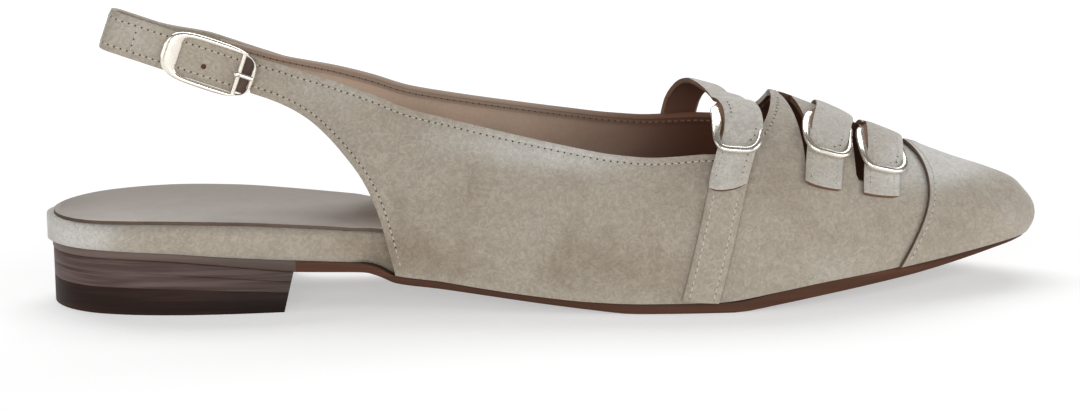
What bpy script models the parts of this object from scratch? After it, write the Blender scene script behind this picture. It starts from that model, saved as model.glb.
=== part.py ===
"""Flat suede slingback shoe for the right foot, modelled piece by piece at its real size.

Sizes are in millimetres and turned into metres where a mesh is placed. Stations run from the
heel back (0) to the toe. The outer, lateral side is at -Y and the inner, medial side at +Y.
"""
import math
from collections import namedtuple

import bmesh
import bpy
import numpy as np
from mathutils import Vector

MM = 0.001

# Driving dimensions
LENGTH = 260.3            # heel back to toe tip, over the toe cap
GAP = 0.3                 # clearance between pieces that touch
UPPER_WALL = 1.6          # suede and lining together
CAP_WALL = 1.0            # toe cap laid over the upper
STRAP_WALL = 1.3          # folded suede strap
STRAP_WIDTH = 9.5
SOCK_WALL = 0.9
UPPER_TIP = 257.2         # station of the upper's foremost feather point
TOE_OVERHANG = 1.8        # how far the toe swells past its feather line
TOE_OVERHANG_START = 236.0
TIP_SIDE = 3.2            # the toe point lies this far to the medial side

# Sole outline: half-widths of the feather line on each side
Outline = namedtuple("Outline", "station lateral medial")
SOLE_OUTLINE = [
    Outline(0.0, 0.0, 0.0),
    Outline(4.0, 13.0, 13.0),
    Outline(11.0, 20.4, 20.4),
    Outline(21.0, 25.4, 25.2),
    Outline(34.0, 27.9, 27.5),
    Outline(48.0, 28.3, 27.7),
    Outline(64.0, 27.3, 26.2),
    Outline(80.0, 26.2, 24.2),
    Outline(96.0, 27.8, 24.6),
    Outline(112.0, 30.2, 26.0),
    Outline(132.0, 35.0, 31.0),
    Outline(152.0, 39.0, 36.6),
    Outline(170.0, 40.2, 40.2),
    Outline(184.0, 39.8, 40.6),
    Outline(199.0, 36.0, 37.6),
    Outline(213.0, 30.4, 33.0),
    Outline(227.0, 23.2, 27.4),
    Outline(239.0, 16.2, 21.4),
    Outline(248.0, 10.0, 15.6),
    Outline(254.0, 4.6, 10.4),
    Outline(UPPER_TIP, -TIP_SIDE, TIP_SIDE),
]
# Behind the quarter's back edge the upper narrows into the sling
TAIL_OUTLINE = [
    Outline(44.0, 8.0, 8.0),
    Outline(56.0, 8.3, 8.3),
    Outline(63.0, 9.6, 9.6),
    Outline(70.0, 14.2, 14.0),
    Outline(77.0, 20.6, 19.4),
    Outline(84.0, 25.2, 22.8),
]

# Last: feather and ridge heights, and how each section is filled out between them
Last = namedtuple("Last", "station feather ridge flare wall crown")
LAST = [
    Last(44.0, 14.0, 94.0, -0.4, 0.50, 0.85),
    Last(56.0, 14.0, 91.0, -0.5, 0.50, 0.80),
    Last(66.0, 13.5, 87.0, -1.6, 0.50, 0.60),
    Last(76.0, 13.0, 80.0, -5.0, 0.50, 0.34),
    Last(84.0, 12.0, 74.0, -6.0, 0.52, 0.28),
    Last(92.0, 9.2, 70.0, -4.6, 0.54, 0.26),
    Last(103.0, 7.9, 66.0, -1.6, 0.56, 0.32),
    Last(114.0, 6.1, 64.0, 0.2, 0.58, 0.40),
    Last(128.0, 4.4, 60.0, 1.4, 0.60, 0.52),
    Last(142.0, 3.2, 56.5, 2.0, 0.62, 0.60),
    Last(156.0, 2.8, 53.6, 2.2, 0.64, 0.62),
    Last(174.0, 2.9, 51.8, 2.2, 0.64, 0.60),
    Last(190.7, 5.0, 50.4, 2.2, 0.60, 0.58),
    Last(202.0, 6.4, 46.4, 2.2, 0.58, 0.56),
    Last(214.0, 7.4, 40.6, 2.2, 0.58, 0.56),
    Last(226.0, 8.4, 35.2, 2.0, 0.58, 0.56),
    Last(238.0, 9.6, 30.3, 1.6, 0.58, 0.56),
    Last(248.0, 10.8, 26.8, 1.0, 0.58, 0.56),
    Last(254.0, 11.6, 24.0, 0.4, 0.58, 0.56),
    Last(UPPER_TIP, 12.0, 20.4, 0.0, 0.58, 0.56),
]

# Upper: its top line on each side from the sling to the throat, and its cut-away back edge
TopLine = namedtuple("TopLine", "station lateral medial")
TOP_LINE = [
    TopLine(44.0, 68.0, 68.0),
    TopLine(56.0, 64.2, 64.2),
    TopLine(66.0, 61.0, 61.2),
    TopLine(76.0, 58.2, 58.8),
    TopLine(86.0, 54.9, 55.9),
    TopLine(96.0, 51.0, 52.3),
    TopLine(108.0, 48.2, 49.5),
    TopLine(122.0, 45.2, 46.5),
    TopLine(136.0, 42.4, 43.6),
    TopLine(150.0, 40.0, 41.0),
    TopLine(160.0, 39.2, 40.0),
    TopLine(172.0, 39.6, 40.2),
]
Edge = namedtuple("Edge", "station height")
BACK_EDGE = [
    Edge(44.0, 57.8),
    Edge(55.0, 54.6),
    Edge(63.5, 51.4),
    Edge(69.0, 48.6),
    Edge(74.6, 44.2),
    Edge(79.9, 38.6),
    Edge(84.0, 33.2),
    Edge(87.6, 25.6),
    Edge(90.2, 16.6),
    Edge(92.0, 9.2),
]
QUARTER_START = 92.0
THROAT_SIDE = 172.0       # where the top line starts to turn across the foot
THROAT_FRONT = 190.7      # the throat's foremost point, on the ridge
THROAT_SQUARE = {"lateral": 0.8, "medial": 0.58}  # below 1 the throat's corners are squarer
LATERAL_TAIL_END = 55.0
MEDIAL_TAIL_END = 47.0
TAIL_COLUMNS, QUARTER_COLUMNS, THROAT_COLUMNS, VAMP_COLUMNS = 9, 12, 8, 18
WALL_ROWS = 9
TIP_CROWDING = 1.7        # columns crowd towards the toe, where the outline turns

# Slots cut across the vamp, from low on the lateral side to just past the ridge
Slot = namedtuple("Slot", "ridge_station lateral_station ridge_width end_width end_height")
SLOTS = [
    Slot(194.8, 199.4, 3.6, 1.8, 35.2),
    Slot(212.4, 213.4, 3.4, 3.6, 30.2),
]
SLOT_LATERAL_SPAN = 30.0  # the cutting blade reaches this far out to the lateral side
SLOT_MEDIAL_SPAN = 8.0    # and the slot ends this far past the ridge
SLOT_CLEAR = 8.0          # the blade stands this far above the ridge
SLOT_STEPS = 13

# Toe cap: its edge bows forward between ridge and feather
CAP_FRONT = 230.4         # station of the edge's foremost point
CAP_FRONT_SHARE = 0.5     # and its share of the way from ridge to feather
CAP_AT_RIDGE = 225.0
CAP_AT_FEATHER = 221.8
CAP_COLUMNS, CAP_ROWS = 10, 9

# Sole, footbed and heel heights
Sole = namedtuple("Sole", "station bottom top")
SOLE = [
    Sole(0.0, 14.6, 16.5),
    Sole(20.0, 14.6, 16.5),
    Sole(32.0, 14.2, 16.2),
    Sole(46.0, 12.9, 15.1),
    Sole(58.0, 11.4, 14.1),
    Sole(66.0, 10.5, 13.5),
    Sole(76.0, 10.1, 12.7),
    Sole(84.0, 9.9, 12.1),
    Sole(88.0, 8.8, 10.9),
    Sole(92.0, 7.1, 8.9),
    Sole(103.0, 5.7, 7.6),
    Sole(114.0, 4.2, 5.8),
    Sole(128.0, 2.5, 4.1),
    Sole(142.0, 1.0, 2.9),
    Sole(154.0, 0.0, 2.5),
    Sole(178.0, 0.0, 2.6),
    Sole(190.7, 1.5, 4.7),
    Sole(202.0, 2.9, 6.1),
    Sole(214.0, 4.2, 7.1),
    Sole(226.0, 5.5, 8.1),
    Sole(238.0, 7.3, 9.3),
    Sole(248.0, 9.0, 10.5),
    Sole(254.0, 9.9, 11.3),
    Sole(UPPER_TIP, 10.3, 11.7),
]
SOLE_INSET = 0.4          # the outsole's edge lies this far in from the feather line
SEAT_INSET = 1.3          # and this far under the heel
HEEL_TURN = 26.0          # over this length from the heel back the outline turns into the sides
TIP_FADE = 3.0            # the sole's inset fades out this close to the toe's tip
SOLE_COLUMNS = 40
# Extra sections where sole and footbed turn down
BEND_STATIONS = [82.0, 83.6, 84.8, 86.0, 87.2, 88.6, 90.0, 92.0]

Insole = namedtuple("Insole", "station top")
INSOLE = [
    Insole(0.0, 24.2),
    Insole(30.0, 24.8),
    Insole(48.0, 24.3),
    Insole(66.0, 23.0),
    Insole(86.0, 21.0),
    Insole(102.0, 18.0),
    Insole(120.0, 13.8),
    Insole(138.0, 9.8),
    Insole(154.0, 7.2),
    Insole(172.0, 6.4),
    Insole(190.0, 8.0),
    Insole(208.0, 10.4),
    Insole(228.0, 12.2),
    Insole(246.0, 14.0),
    Insole(UPPER_TIP, 15.0),
]
INSOLE_TIP = 251.0        # footbed and sock stop short of the toe's inner wall
RAND_HIDDEN_FROM = 85.6   # the footbed steps in here, to pass inside the quarters
RAND_HIDDEN_BY = 89.0
RAND_ROUND = 1.9          # how far the wrapped edge is rounded off at top and bottom
RAND_ROUND_HIDDEN = 0.4   # share of that left inside the upper
RAND_ROUND_WIDTH = 24.0   # the rounding fades out where the footbed is narrower
Rand = namedtuple("Rand", "share pull")
RAND_PROFILE = [Rand(0.0, 0.75), Rand(0.16, 0.16), Rand(0.5, 0.0), Rand(0.84, 0.2), Rand(1.0, 1.0)]
SOCK_INSET = 2.0
SOCK_INSET_HIDDEN = 0.3   # share of that left inside the upper

HEEL_INSET = 1.5
HEEL_BREAST = 63.0        # station of the breast at the floor
BREAST_LEAN = 2.6         # the breast leans forward by this much at the top
BREAST_LEAN_START = 40.0
HEEL_COLUMNS = 16
HEEL_CROWDING = 1.8       # sections crowd towards the heel's round back
Lift = namedtuple("Lift", "name low high")
HEEL_LIFTS = [
    Lift("heel_top_piece", 0.0, 0.485),
    Lift("heel_lift_lower", 0.485, 0.755),
    Lift("heel_lift_upper", 0.755, 1.0),
]

# Instep straps: tab end, buckle centre and medial end in girth from the ridge, lateral negative.
# Skew makes a strap's front edge shorter down the side than its back edge. The first strap lies
# on the side strap and hangs slack over the open throat.
Strap = namedtuple("Strap", "name tab_end buckle medial_end stack skew slack")
STRAPS = [
    Strap("instep_strap_1", -43.5, -25.0, None, 1, 0.0, 1),
    Strap("instep_strap_2", -35.6, -17.4, 26.0, 0, 0.008, 0),
    Strap("instep_strap_3", -29.4, -13.6, 22.0, 0, 0.016, 0),
]
# The line each strap follows: station of its middle by girth
Route = namedtuple("Route", "girth station")
STRAP_ROUTES = [
    [
        Route(-60.0, 177.0),
        Route(-43.0, 177.6),
        Route(-32.0, 180.2),
        Route(-24.0, 181.2),
        Route(-12.0, 179.6),
        Route(0.0, 176.6),
        Route(12.0, 173.6),
        Route(20.0, 171.2),
        Route(30.0, 168.3),
        Route(70.0, 164.0),
    ],
    [Route(-40.0, 201.8), Route(-28.0, 202.8), Route(-17.0, 204.4), Route(-6.0, 206.4), Route(0.0, 207.2),
     Route(40.0, 204.5)],
    [Route(-40.0, 216.8), Route(-26.0, 217.6), Route(-14.0, 218.5), Route(0.0, 219.0), Route(40.0, 215.0)],
]
STRAP_FOOT = 60.0         # girth near which the first strap tucks in at the medial feather
STRAP_STEP = 1.7          # spacing of a strap's cross lines
STRAP_ROWS = 2
HUMP = 1.5                # lift of the strap where it rides over the buckle's straight side
HUMP_RISE = (-6.0, -1.5)  # from the buckle's centre, where the hump rises out of the frame
HUMP_FALL = (9.0, 14.5)   # and where it comes down past the frame's straight side
# How far the slack strap's back and front edges hang below its line, by girth
Slack = namedtuple("Slack", "girth back front")
SLACK = [
    Slack(-16.0, 0.0, 0.0),
    Slack(-8.0, 0.1, 1.3),
    Slack(2.0, 0.0, 3.2),
    Slack(12.0, -0.7, 1.2),
    Slack(21.0, -1.2, -0.6),
    Slack(32.0, -0.6, -0.4),
    Slack(44.0, 0.0, 0.0),
]

# Side strap from the sole up to the first buckle's bar
SIDE_STRAP_TOP = -26.0    # girth
STACK_FADE = (0.0, 12.0)  # from the first buckle's centre, where the strap over it comes down
SIDE_STRAP_FOOT = -65.0   # girth near which it tucks in at the lateral feather
SIDE_ROUTE = [
    Route(-75.0, 169.4),
    Route(-60.0, 173.4),
    Route(-43.0, 177.6),
    Route(-32.0, 180.2),
    Route(-24.0, 181.2),
]

# Buckles on the instep straps: a straight side under the strap, and a bow over its tab
FRAME_LENGTH = 17.5       # along the strap, between wire middles
FRAME_WIDTH = 11.8        # across the strap, between wire middles
FRAME_CORNER = 0.5        # roundness of its corners, 1 is a full half-round
FRAME_BOW = 0.72          # roundness of its bow
WIRE_RADIUS = 0.75
BAR_RADIUS = 0.55         # of the straight side
BAR_FROM = (0.7, 0.95)    # shares of the half-length between which the wire thins to it
FRAME_STEPS = 32
BAR_LIFT = 0.9            # the straight side lies this high, under the strap
BOW_LIFT = 2.75           # and the bow this high, over the tab
FRAME_TILT = (-0.6, 0.9)  # shares of the half-length between which the frame rises to its bow

# Sling strap: a loop lying in one slanting plane
SLING_SLOPE = math.radians(20.0)
SLING_REAR = 18.3         # station of the loop's rearmost point
SLING_REAR_HEIGHT = 72.4  # height of the strap's middle there
SLING_WIDTH = 10.8
SLING_SIDE = 8.2          # the lateral run lies this far out, to the strap's middle
SLING_TURN = 2.6          # radius of the flat loop's turn at the heel
SLING_PARTING = 29.0      # up to here the medial run lies beside the lateral one
SLING_LATERAL_END = 52.6
SLING_MEDIAL_END = 66.0
SLING_OVERLAP_START = 44.4  # from here the strap lies outside the medial quarter's tail
SLING_RUN_STEPS, SLING_TURN_STEPS = 18, 10

# Sling buckle
SLING_FRAME_CENTRE = 44.6
SLING_FRAME_LENGTH = 25.0
SLING_FRAME_WIDTH = 13.4
SLING_FRAME_PLATE = 3.2   # width of its broad rear end
SLING_FRAME_SIDE = 1.5
SLING_FRAME_WALL = 1.5
SLING_FRAME_ROUND = 0.62  # roundness of its outside, and then of its window
SLING_WINDOW_ROUND = 0.5
SLING_FRAME_STEPS = 32
SLING_BAR_FROM_FRONT = 4.2
SLING_BAR_RADIUS = 0.55
SLING_PRONG_RADIUS = 0.62
SLING_PRONG_BACK = 0.8    # the prong's eye reaches this far behind the bar

Finish = namedtuple("Finish", "name colour roughness metallic")
SUEDE = Finish("beige_suede", (0.50, 0.43, 0.33), 0.95, 0.0)
SOCK_LEATHER = Finish("taupe_sock_leather", (0.31, 0.23, 0.17), 0.6, 0.0)
SOLE_LEATHER = Finish("brown_sole_leather", (0.27, 0.15, 0.08), 0.55, 0.0)
HEEL_STACK = Finish("dark_stacked_heel", (0.085, 0.052, 0.036), 0.45, 0.0)
HEEL_RUBBER = Finish("dark_heel_rubber", (0.05, 0.033, 0.026), 0.6, 0.0)
BUCKLE_METAL = Finish("pale_gold_metal", (0.83, 0.77, 0.67), 0.18, 1.0)

# Fineness of the worked-out curves
OUTLINE_SAMPLES = 24      # between two rows of an outline
GIRTH_SAMPLES = 61        # round one side of a section
HALVINGS = 40             # when a height is searched for on a section
NORMAL_REACH = 0.6        # half the distance over which a normal is measured


def smooth_table(rows, key, value):
    """Shape-keeping cubic through a table's column: no overshoot between its rows."""
    xs = np.array([getattr(row, key) for row in rows])
    ys = np.array([getattr(row, value) for row in rows])
    step = np.diff(xs)
    slope = np.diff(ys) / step
    tangent = np.zeros(len(xs))
    tangent[0], tangent[-1] = slope[0], slope[-1]
    for i in range(1, len(xs) - 1):
        if slope[i - 1] * slope[i] > 0.0:
            before, after = 2 * step[i] + step[i - 1], step[i] + 2 * step[i - 1]
            tangent[i] = (before + after) / (before / slope[i - 1] + after / slope[i])

    def value_at(x):
        x = min(max(x, xs[0]), xs[-1])
        i = min(int(np.searchsorted(xs, x, side="right")) - 1, len(step) - 1)
        f = (x - xs[i]) / step[i]
        rise = (1 + 2 * f) * (1 - f) ** 2 * ys[i] + f * f * (3 - 2 * f) * ys[i + 1]
        return rise + step[i] * f * (1 - f) * ((1 - f) * tangent[i] - f * tangent[i + 1])

    return value_at


def smooth_outline(rows, side, round_start):
    """Half-width by station along a smooth plan curve with a rounded toe and, if asked, heel."""
    points = np.array([(row.station, getattr(row, side)) for row in rows])
    chord = np.linalg.norm(np.diff(points, axis=0), axis=1)
    tangent = np.gradient(points, np.concatenate(([0.0], np.cumsum(chord))), axis=0)
    tangent[-1] = (0.0, -1.0)
    if round_start:
        tangent[0] = (0.0, 1.0)
    samples = []
    for i, length in enumerate(chord):
        for f in np.linspace(0.0, 1.0, OUTLINE_SAMPLES, endpoint=False):
            start = (1 + 2 * f) * (1 - f) ** 2 * points[i] + f * (1 - f) ** 2 * length * tangent[i]
            end = f * f * (3 - 2 * f) * points[i + 1] - f * f * (1 - f) * length * tangent[i + 1]
            samples.append(start + end)
    samples.append(points[-1])
    curve = np.array(samples)
    return lambda station: float(np.interp(station, curve[:, 0], curve[:, 1]))


SIDES = {"lateral": -1.0, "medial": 1.0}
UPPER_OUTLINE = TAIL_OUTLINE + [row for row in SOLE_OUTLINE if row.station > QUARTER_START]
sole_half = {side: smooth_outline(SOLE_OUTLINE, side, True) for side in SIDES}
upper_half = {side: smooth_outline(UPPER_OUTLINE, side, False) for side in SIDES}
last_at = {name: smooth_table(LAST, "station", name) for name in Last._fields[1:]}
top_line = {side: smooth_table(TOP_LINE, "station", side) for side in SIDES}
back_edge = smooth_table(BACK_EDGE, "station", "height")
sole_top = smooth_table(SOLE, "station", "top")
sole_bottom = smooth_table(SOLE, "station", "bottom")
insole_top = smooth_table(INSOLE, "station", "top")


def ramp(x, start, end):
    """Smooth step from 0 at start to 1 at end."""
    f = min(max((x - start) / (end - start), 0.0), 1.0)
    return f * f * (3 - 2 * f)


def place(station, y, z):
    """World position of a point given in millimetres from the heel back."""
    return Vector(((station - LENGTH / 2) * MM, y * MM, z * MM))


def ridge_side(station):
    """Sideways place of the ridge, which leans over to the toe point."""
    return TIP_SIDE * ramp(station, THROAT_FRONT, UPPER_TIP)


def section(side, station):
    """Control points (y, z) of the last's section on one side, from feather to ridge."""
    half = upper_half[side](station)
    middle = ridge_side(station)
    foot = SIDES[side] * half
    low, high = last_at["feather"](station), last_at["ridge"](station)
    flare = SIDES[side] * last_at["flare"](station)
    wall = low + last_at["wall"](station) * (high - low)
    crown = middle + last_at["crown"](station) * (foot - middle)
    return np.array([(foot, low), (foot + flare, wall), (crown, high), (middle, high)])


def on_section(points, t):
    """Point of a cubic section, 0 at the feather and 1 on the ridge."""
    u = 1.0 - t
    return u ** 3 * points[0] + 3 * u * u * t * points[1] + 3 * u * t * t * points[2] + t ** 3 * points[3]


def last_point(side, station, t):
    """Point of the last, in millimetres: station, y and z."""
    y, z = on_section(section(side, station), t)
    low, high = last_at["feather"](station), last_at["ridge"](station)
    share = (z - low) / (high - low)
    swell = TOE_OVERHANG * ramp(station, TOE_OVERHANG_START, UPPER_TIP) * 4 * share * (1 - share)
    return np.array((station + swell, y, z))


def share_at_height(side, station, height):
    """Where along a section, from 0 to 1, the last reaches a height."""
    points = section(side, station)
    low, high = 0.0, 1.0
    for _ in range(HALVINGS):
        middle = (low + high) / 2
        if on_section(points, middle)[1] < height:
            low = middle
        else:
            high = middle
    return low


def half_at_height(side, station, height):
    """Outer half-width of the last at a height, counted from the shoe's middle plane."""
    share = share_at_height(side, station, height)
    return SIDES[side] * on_section(section(side, station), share)[0]


def girth_point(station, girth):
    """Point of the last at a distance from the ridge, measured round the section."""
    side = "lateral" if girth < 0 else "medial"
    shares = np.linspace(1.0, 0.0, GIRTH_SAMPLES)
    points = np.array([last_point(side, station, t) for t in shares])
    lengths = np.concatenate(([0.0], np.cumsum(np.linalg.norm(np.diff(points, axis=0), axis=1))))
    return np.array([np.interp(abs(girth), lengths, points[:, axis]) for axis in range(3)])


def half_girth(side, station):
    """Length round one side of a section, from ridge to feather."""
    points = np.array([last_point(side, station, t) for t in np.linspace(0.0, 1.0, GIRTH_SAMPLES)])
    return float(np.linalg.norm(np.diff(points, axis=0), axis=1).sum())


def girth_normal(station, girth):
    """Outward normal of the last at a station and girth."""
    reach = NORMAL_REACH
    along = girth_point(station + reach, girth) - girth_point(station - reach, girth)
    across = girth_point(station, girth + reach) - girth_point(station, girth - reach)
    normal = np.cross(along, across)
    return normal / np.linalg.norm(normal)


def lifted(station, girth, lift):
    """World position of a point at a height above the last."""
    return place(*(girth_point(station, girth) + lift * girth_normal(station, girth)))


def make_material(finish):
    material = bpy.data.materials.get(finish.name)
    if material is None:
        material = bpy.data.materials.new(finish.name)
        material.use_nodes = True
        shader = material.node_tree.nodes["Principled BSDF"]
        shader.inputs["Base Color"].default_value = (*finish.colour, 1.0)
        shader.inputs["Roughness"].default_value = finish.roughness
        shader.inputs["Metallic"].default_value = finish.metallic
    return material


def add_object(name, bm, finish, collection):
    """Turn a bmesh into a named object with its material."""
    mesh = bpy.data.meshes.new(name)
    bm.to_mesh(mesh)
    bm.free()
    mesh.shade_smooth()
    mesh.set_sharp_from_angle(angle=math.radians(40))
    piece = bpy.data.objects.new(name, mesh)
    if finish is not None:
        mesh.materials.append(make_material(finish))
    collection.objects.link(piece)
    return piece


def mapped_grid(bm, columns, rows, where):
    """Add a grid whose point at column i and row j is moved to where(i, j)."""
    made = bmesh.ops.create_grid(bm, x_segments=columns, y_segments=rows, size=0.5)
    for vert in made["verts"]:
        vert.co = where(round((vert.co.x + 0.5) * columns), round((vert.co.y + 0.5) * rows))


def clean(bm, merge=0.02):
    """Weld the seams of a mesh and drop what collapsed."""
    bmesh.ops.remove_doubles(bm, verts=bm.verts, dist=merge * MM)
    bmesh.ops.dissolve_degenerate(bm, edges=bm.edges, dist=merge * MM / 4)
    bmesh.ops.recalc_face_normals(bm, faces=bm.faces)


def add_wall(piece, thickness):
    """Give an open sheet its wall, inwards from the sheet."""
    wall = piece.modifiers.new("wall", "SOLIDIFY")
    wall.thickness = thickness * MM
    wall.offset = -1.0
    wall.use_even_offset = True
    wall.use_quality_normals = True


def body_through(rings, closed=False):
    """Closed mesh through rings of world points; a closed body runs back to its first ring."""
    count = len(rings[0])
    rings = rings + rings[:1] if closed else rings
    bm = bmesh.new()
    mapped_grid(bm, len(rings) - 1, count, lambda i, j: rings[i][j % count])
    clean(bm)
    open_edges = [edge for edge in bm.edges if edge.is_boundary]
    if open_edges:
        bmesh.ops.holes_fill(bm, edges=open_edges, sides=0)
        bmesh.ops.recalc_face_normals(bm, faces=bm.faces)
    return bm


def loft(name, stations, perimeter, finish, collection):
    """Closed body through sections; perimeter(station) gives world points round one section."""
    return add_object(name, body_through([perimeter(station) for station in stations]), finish, collection)


def end_crowded(start, end, count):
    """Stations that crowd towards both ends, where an outline turns."""
    return [start + (end - start) * (1 - math.cos(math.pi * i / count)) / 2 for i in range(count + 1)]


def start_crowded(start, end, count):
    """Stations that crowd towards the start."""
    return [start + (end - start) * (i / count) ** HEEL_CROWDING for i in range(count + 1)]


def drawn_in(half_at, station, inset):
    """Half-width of an outline drawn in by an inset, at its round heel back as well as its sides."""
    sideways = ramp(station, 0.0, HEEL_TURN)
    return half_at(station - inset * (1.0 - sideways)) - inset * sideways


def sole_perimeter(station):
    inset = SEAT_INSET + (SOLE_INSET - SEAT_INSET) * ramp(station, HEEL_BREAST, QUARTER_START)
    inset *= ramp(UPPER_TIP - station, 0.0, TIP_FADE)
    corners = []
    for side, height in (("lateral", sole_bottom), ("lateral", sole_top), ("medial", sole_top),
                         ("medial", sole_bottom)):
        half = drawn_in(sole_half[side], station, inset)
        corners.append(place(station, SIDES[side] * half, height(station)))
    return corners


def make_outsole(collection):
    stations = sorted(end_crowded(SEAT_INSET, UPPER_TIP - SOLE_INSET / 2, SOLE_COLUMNS) + BEND_STATIONS)
    return loft("outsole", stations, sole_perimeter, SOLE_LEATHER, collection)


def footbed_half(side, station, low, high):
    """Half-width of the footbed: the sole's outline behind, the upper's inner wall ahead."""
    hidden = ramp(station, RAND_HIDDEN_FROM, RAND_HIDDEN_BY)
    half = sole_half[side](station)
    if hidden > 0.0:
        room = min(half_at_height(side, station, low), half_at_height(side, station, high))
        if station < QUARTER_START:
            room = min(room, half)
        half = half + hidden * (room - UPPER_WALL - 2 * GAP - half)
    return half


def footbed_perimeter(station):
    low = sole_top(station) + GAP
    high = insole_top(station) - SOCK_WALL - GAP
    halves = {side: footbed_half(side, station, low, high) for side in SIDES}
    hidden = ramp(station, RAND_HIDDEN_FROM, RAND_HIDDEN_BY)
    rounding = RAND_ROUND * ramp(halves["lateral"] + halves["medial"], 0.0, RAND_ROUND_WIDTH)
    rounding *= 1.0 + (RAND_ROUND_HIDDEN - 1.0) * hidden
    edges = {"lateral": [], "medial": []}
    for side, sign in SIDES.items():
        for row in RAND_PROFILE:
            y = sign * (halves[side] - rounding * row.pull)
            edges[side].append(place(station, y, low + row.share * (high - low)))
    return edges["lateral"] + edges["medial"][::-1]


def make_footbed(collection):
    stations = sorted(end_crowded(0.0, INSOLE_TIP, SOLE_COLUMNS) + BEND_STATIONS)
    return loft("footbed", stations, footbed_perimeter, SUEDE, collection)


def sock_perimeter(station):
    high = insole_top(station)
    low = high - SOCK_WALL
    hidden = ramp(station, RAND_HIDDEN_FROM, RAND_HIDDEN_BY)
    inset = SOCK_INSET * (1.0 + (SOCK_INSET_HIDDEN - 1.0) * hidden)
    corners = []
    for side, height in (("lateral", low), ("lateral", high), ("medial", high), ("medial", low)):
        half = drawn_in(lambda at, side=side: footbed_half(side, at, low, high), station, inset)
        corners.append(place(station, SIDES[side] * half, height))
    return corners


def make_sock(collection):
    stations = sorted(end_crowded(SOCK_INSET, INSOLE_TIP - SOCK_INSET, SOLE_COLUMNS) + BEND_STATIONS)
    return loft("insole_sock", stations, sock_perimeter, SOCK_LEATHER, collection)


def make_heel(lift, collection):
    """One layer of the stacked heel, a wedge between two shares of the seat's height."""
    def perimeter(station):
        corners = []
        for side, share, seam in (("lateral", lift.low, low_seam), ("lateral", lift.high, high_seam),
                                  ("medial", lift.high, high_seam), ("medial", lift.low, low_seam)):
            leant = station + BREAST_LEAN * share * ramp(station, BREAST_LEAN_START, HEEL_BREAST)
            height = share * (sole_bottom(leant) - GAP) + seam
            half = drawn_in(sole_half[side], station, HEEL_INSET)
            corners.append(place(leant, SIDES[side] * half, height))
        return corners

    low_seam = GAP / 2 if lift.low > 0.0 else 0.0
    high_seam = -GAP / 2 if lift.high < 1.0 else 0.0
    stations = start_crowded(HEEL_INSET, HEEL_BREAST, HEEL_COLUMNS)
    finish = HEEL_STACK if lift.low > 0.0 else HEEL_RUBBER
    return loft(lift.name, stations, perimeter, finish, collection)


def upper_column(side, column):
    """Foot and top of a column of the upper: station and share of the section, each."""
    tail_end = LATERAL_TAIL_END if side == "lateral" else MEDIAL_TAIL_END
    if column <= TAIL_COLUMNS:
        station = tail_end + (QUARTER_START - tail_end) * column / TAIL_COLUMNS
        foot = share_at_height(side, station, back_edge(station))
        return (station, foot), (station, share_at_height(side, station, top_line[side](station)))
    column -= TAIL_COLUMNS
    if column <= QUARTER_COLUMNS:
        station = QUARTER_START + (THROAT_SIDE - QUARTER_START) * column / QUARTER_COLUMNS
        return (station, 0.0), (station, share_at_height(side, station, top_line[side](station)))
    column -= QUARTER_COLUMNS
    if column <= THROAT_COLUMNS:
        turn = column / THROAT_COLUMNS * math.pi / 2
        reach = THROAT_FRONT - THROAT_SIDE
        start = share_at_height(side, THROAT_SIDE, top_line[side](THROAT_SIDE))
        station = THROAT_SIDE + reach * math.sin(turn) ** THROAT_SQUARE[side]
        share = start + (1.0 - start) * (1 - math.cos(turn) ** THROAT_SQUARE[side])
        return (THROAT_SIDE + reach * column / THROAT_COLUMNS, 0.0), (station, share)
    column -= THROAT_COLUMNS
    rest = (1 - column / VAMP_COLUMNS) ** TIP_CROWDING
    station = UPPER_TIP - (UPPER_TIP - THROAT_FRONT) * rest
    return (station, 0.0), (station, 1.0)


def make_upper(collection, cutters):
    """Quarters, tails and vamp in one wall, open at collar, throat, heel and underneath."""
    columns = TAIL_COLUMNS + QUARTER_COLUMNS + THROAT_COLUMNS + VAMP_COLUMNS
    bm = bmesh.new()
    for side in SIDES:
        ends = [upper_column(side, i) for i in range(columns + 1)]

        def where(i, j, ends=ends, side=side):
            (foot_station, foot_share), (top_station, top_share) = ends[i]
            f = j / WALL_ROWS
            station = foot_station + (top_station - foot_station) * f
            return place(*last_point(side, station, foot_share + (top_share - foot_share) * f))

        mapped_grid(bm, columns, WALL_ROWS, where)
    clean(bm)
    face_outwards(bm)
    upper = add_object("upper", bm, SUEDE, collection)
    add_wall(upper, UPPER_WALL)
    for slot in SLOTS:
        cut = upper.modifiers.new("slot", "BOOLEAN")
        cut.operation = "DIFFERENCE"
        cut.object = make_slot_cutter(slot, cutters)
    return upper


def face_outwards(bm):
    """Turn an open sheet so that its faces point away from the shoe's inside."""
    inside = sum((vert.co for vert in bm.verts), Vector()) / len(bm.verts)
    inside.z = 0.0
    facing = sum(face.normal.dot(face.calc_center_median() - inside) * face.calc_area() for face in bm.faces)
    if facing < 0.0:
        bmesh.ops.reverse_faces(bm, faces=bm.faces)
    bm.normal_update()


def make_slot_cutter(slot, cutters):
    """Bowed upright blade through the vamp, widest at the ridge."""
    top = last_at["ridge"](slot.ridge_station) + SLOT_CLEAR
    rings = []
    for y in np.linspace(-SLOT_LATERAL_SPAN, SLOT_MEDIAL_SPAN, SLOT_STEPS + 1):
        bow = math.sin(max(-y, 0.0) / SLOT_LATERAL_SPAN * math.pi / 2)
        station = slot.ridge_station + (slot.lateral_station - slot.ridge_station) * bow
        half = (slot.ridge_width + (slot.end_width - slot.ridge_width) * abs(y) / SLOT_LATERAL_SPAN) / 2
        corners = ((station - half, slot.end_height), (station + half, slot.end_height),
                   (station + half, top), (station - half, top))
        rings.append([place(x, y, z) for x, z in corners])
    cutter = add_object("slot_cutter", body_through(rings), None, cutters)
    cutter.hide_render = True
    cutter.display_type = "WIRE"
    return cutter


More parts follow.
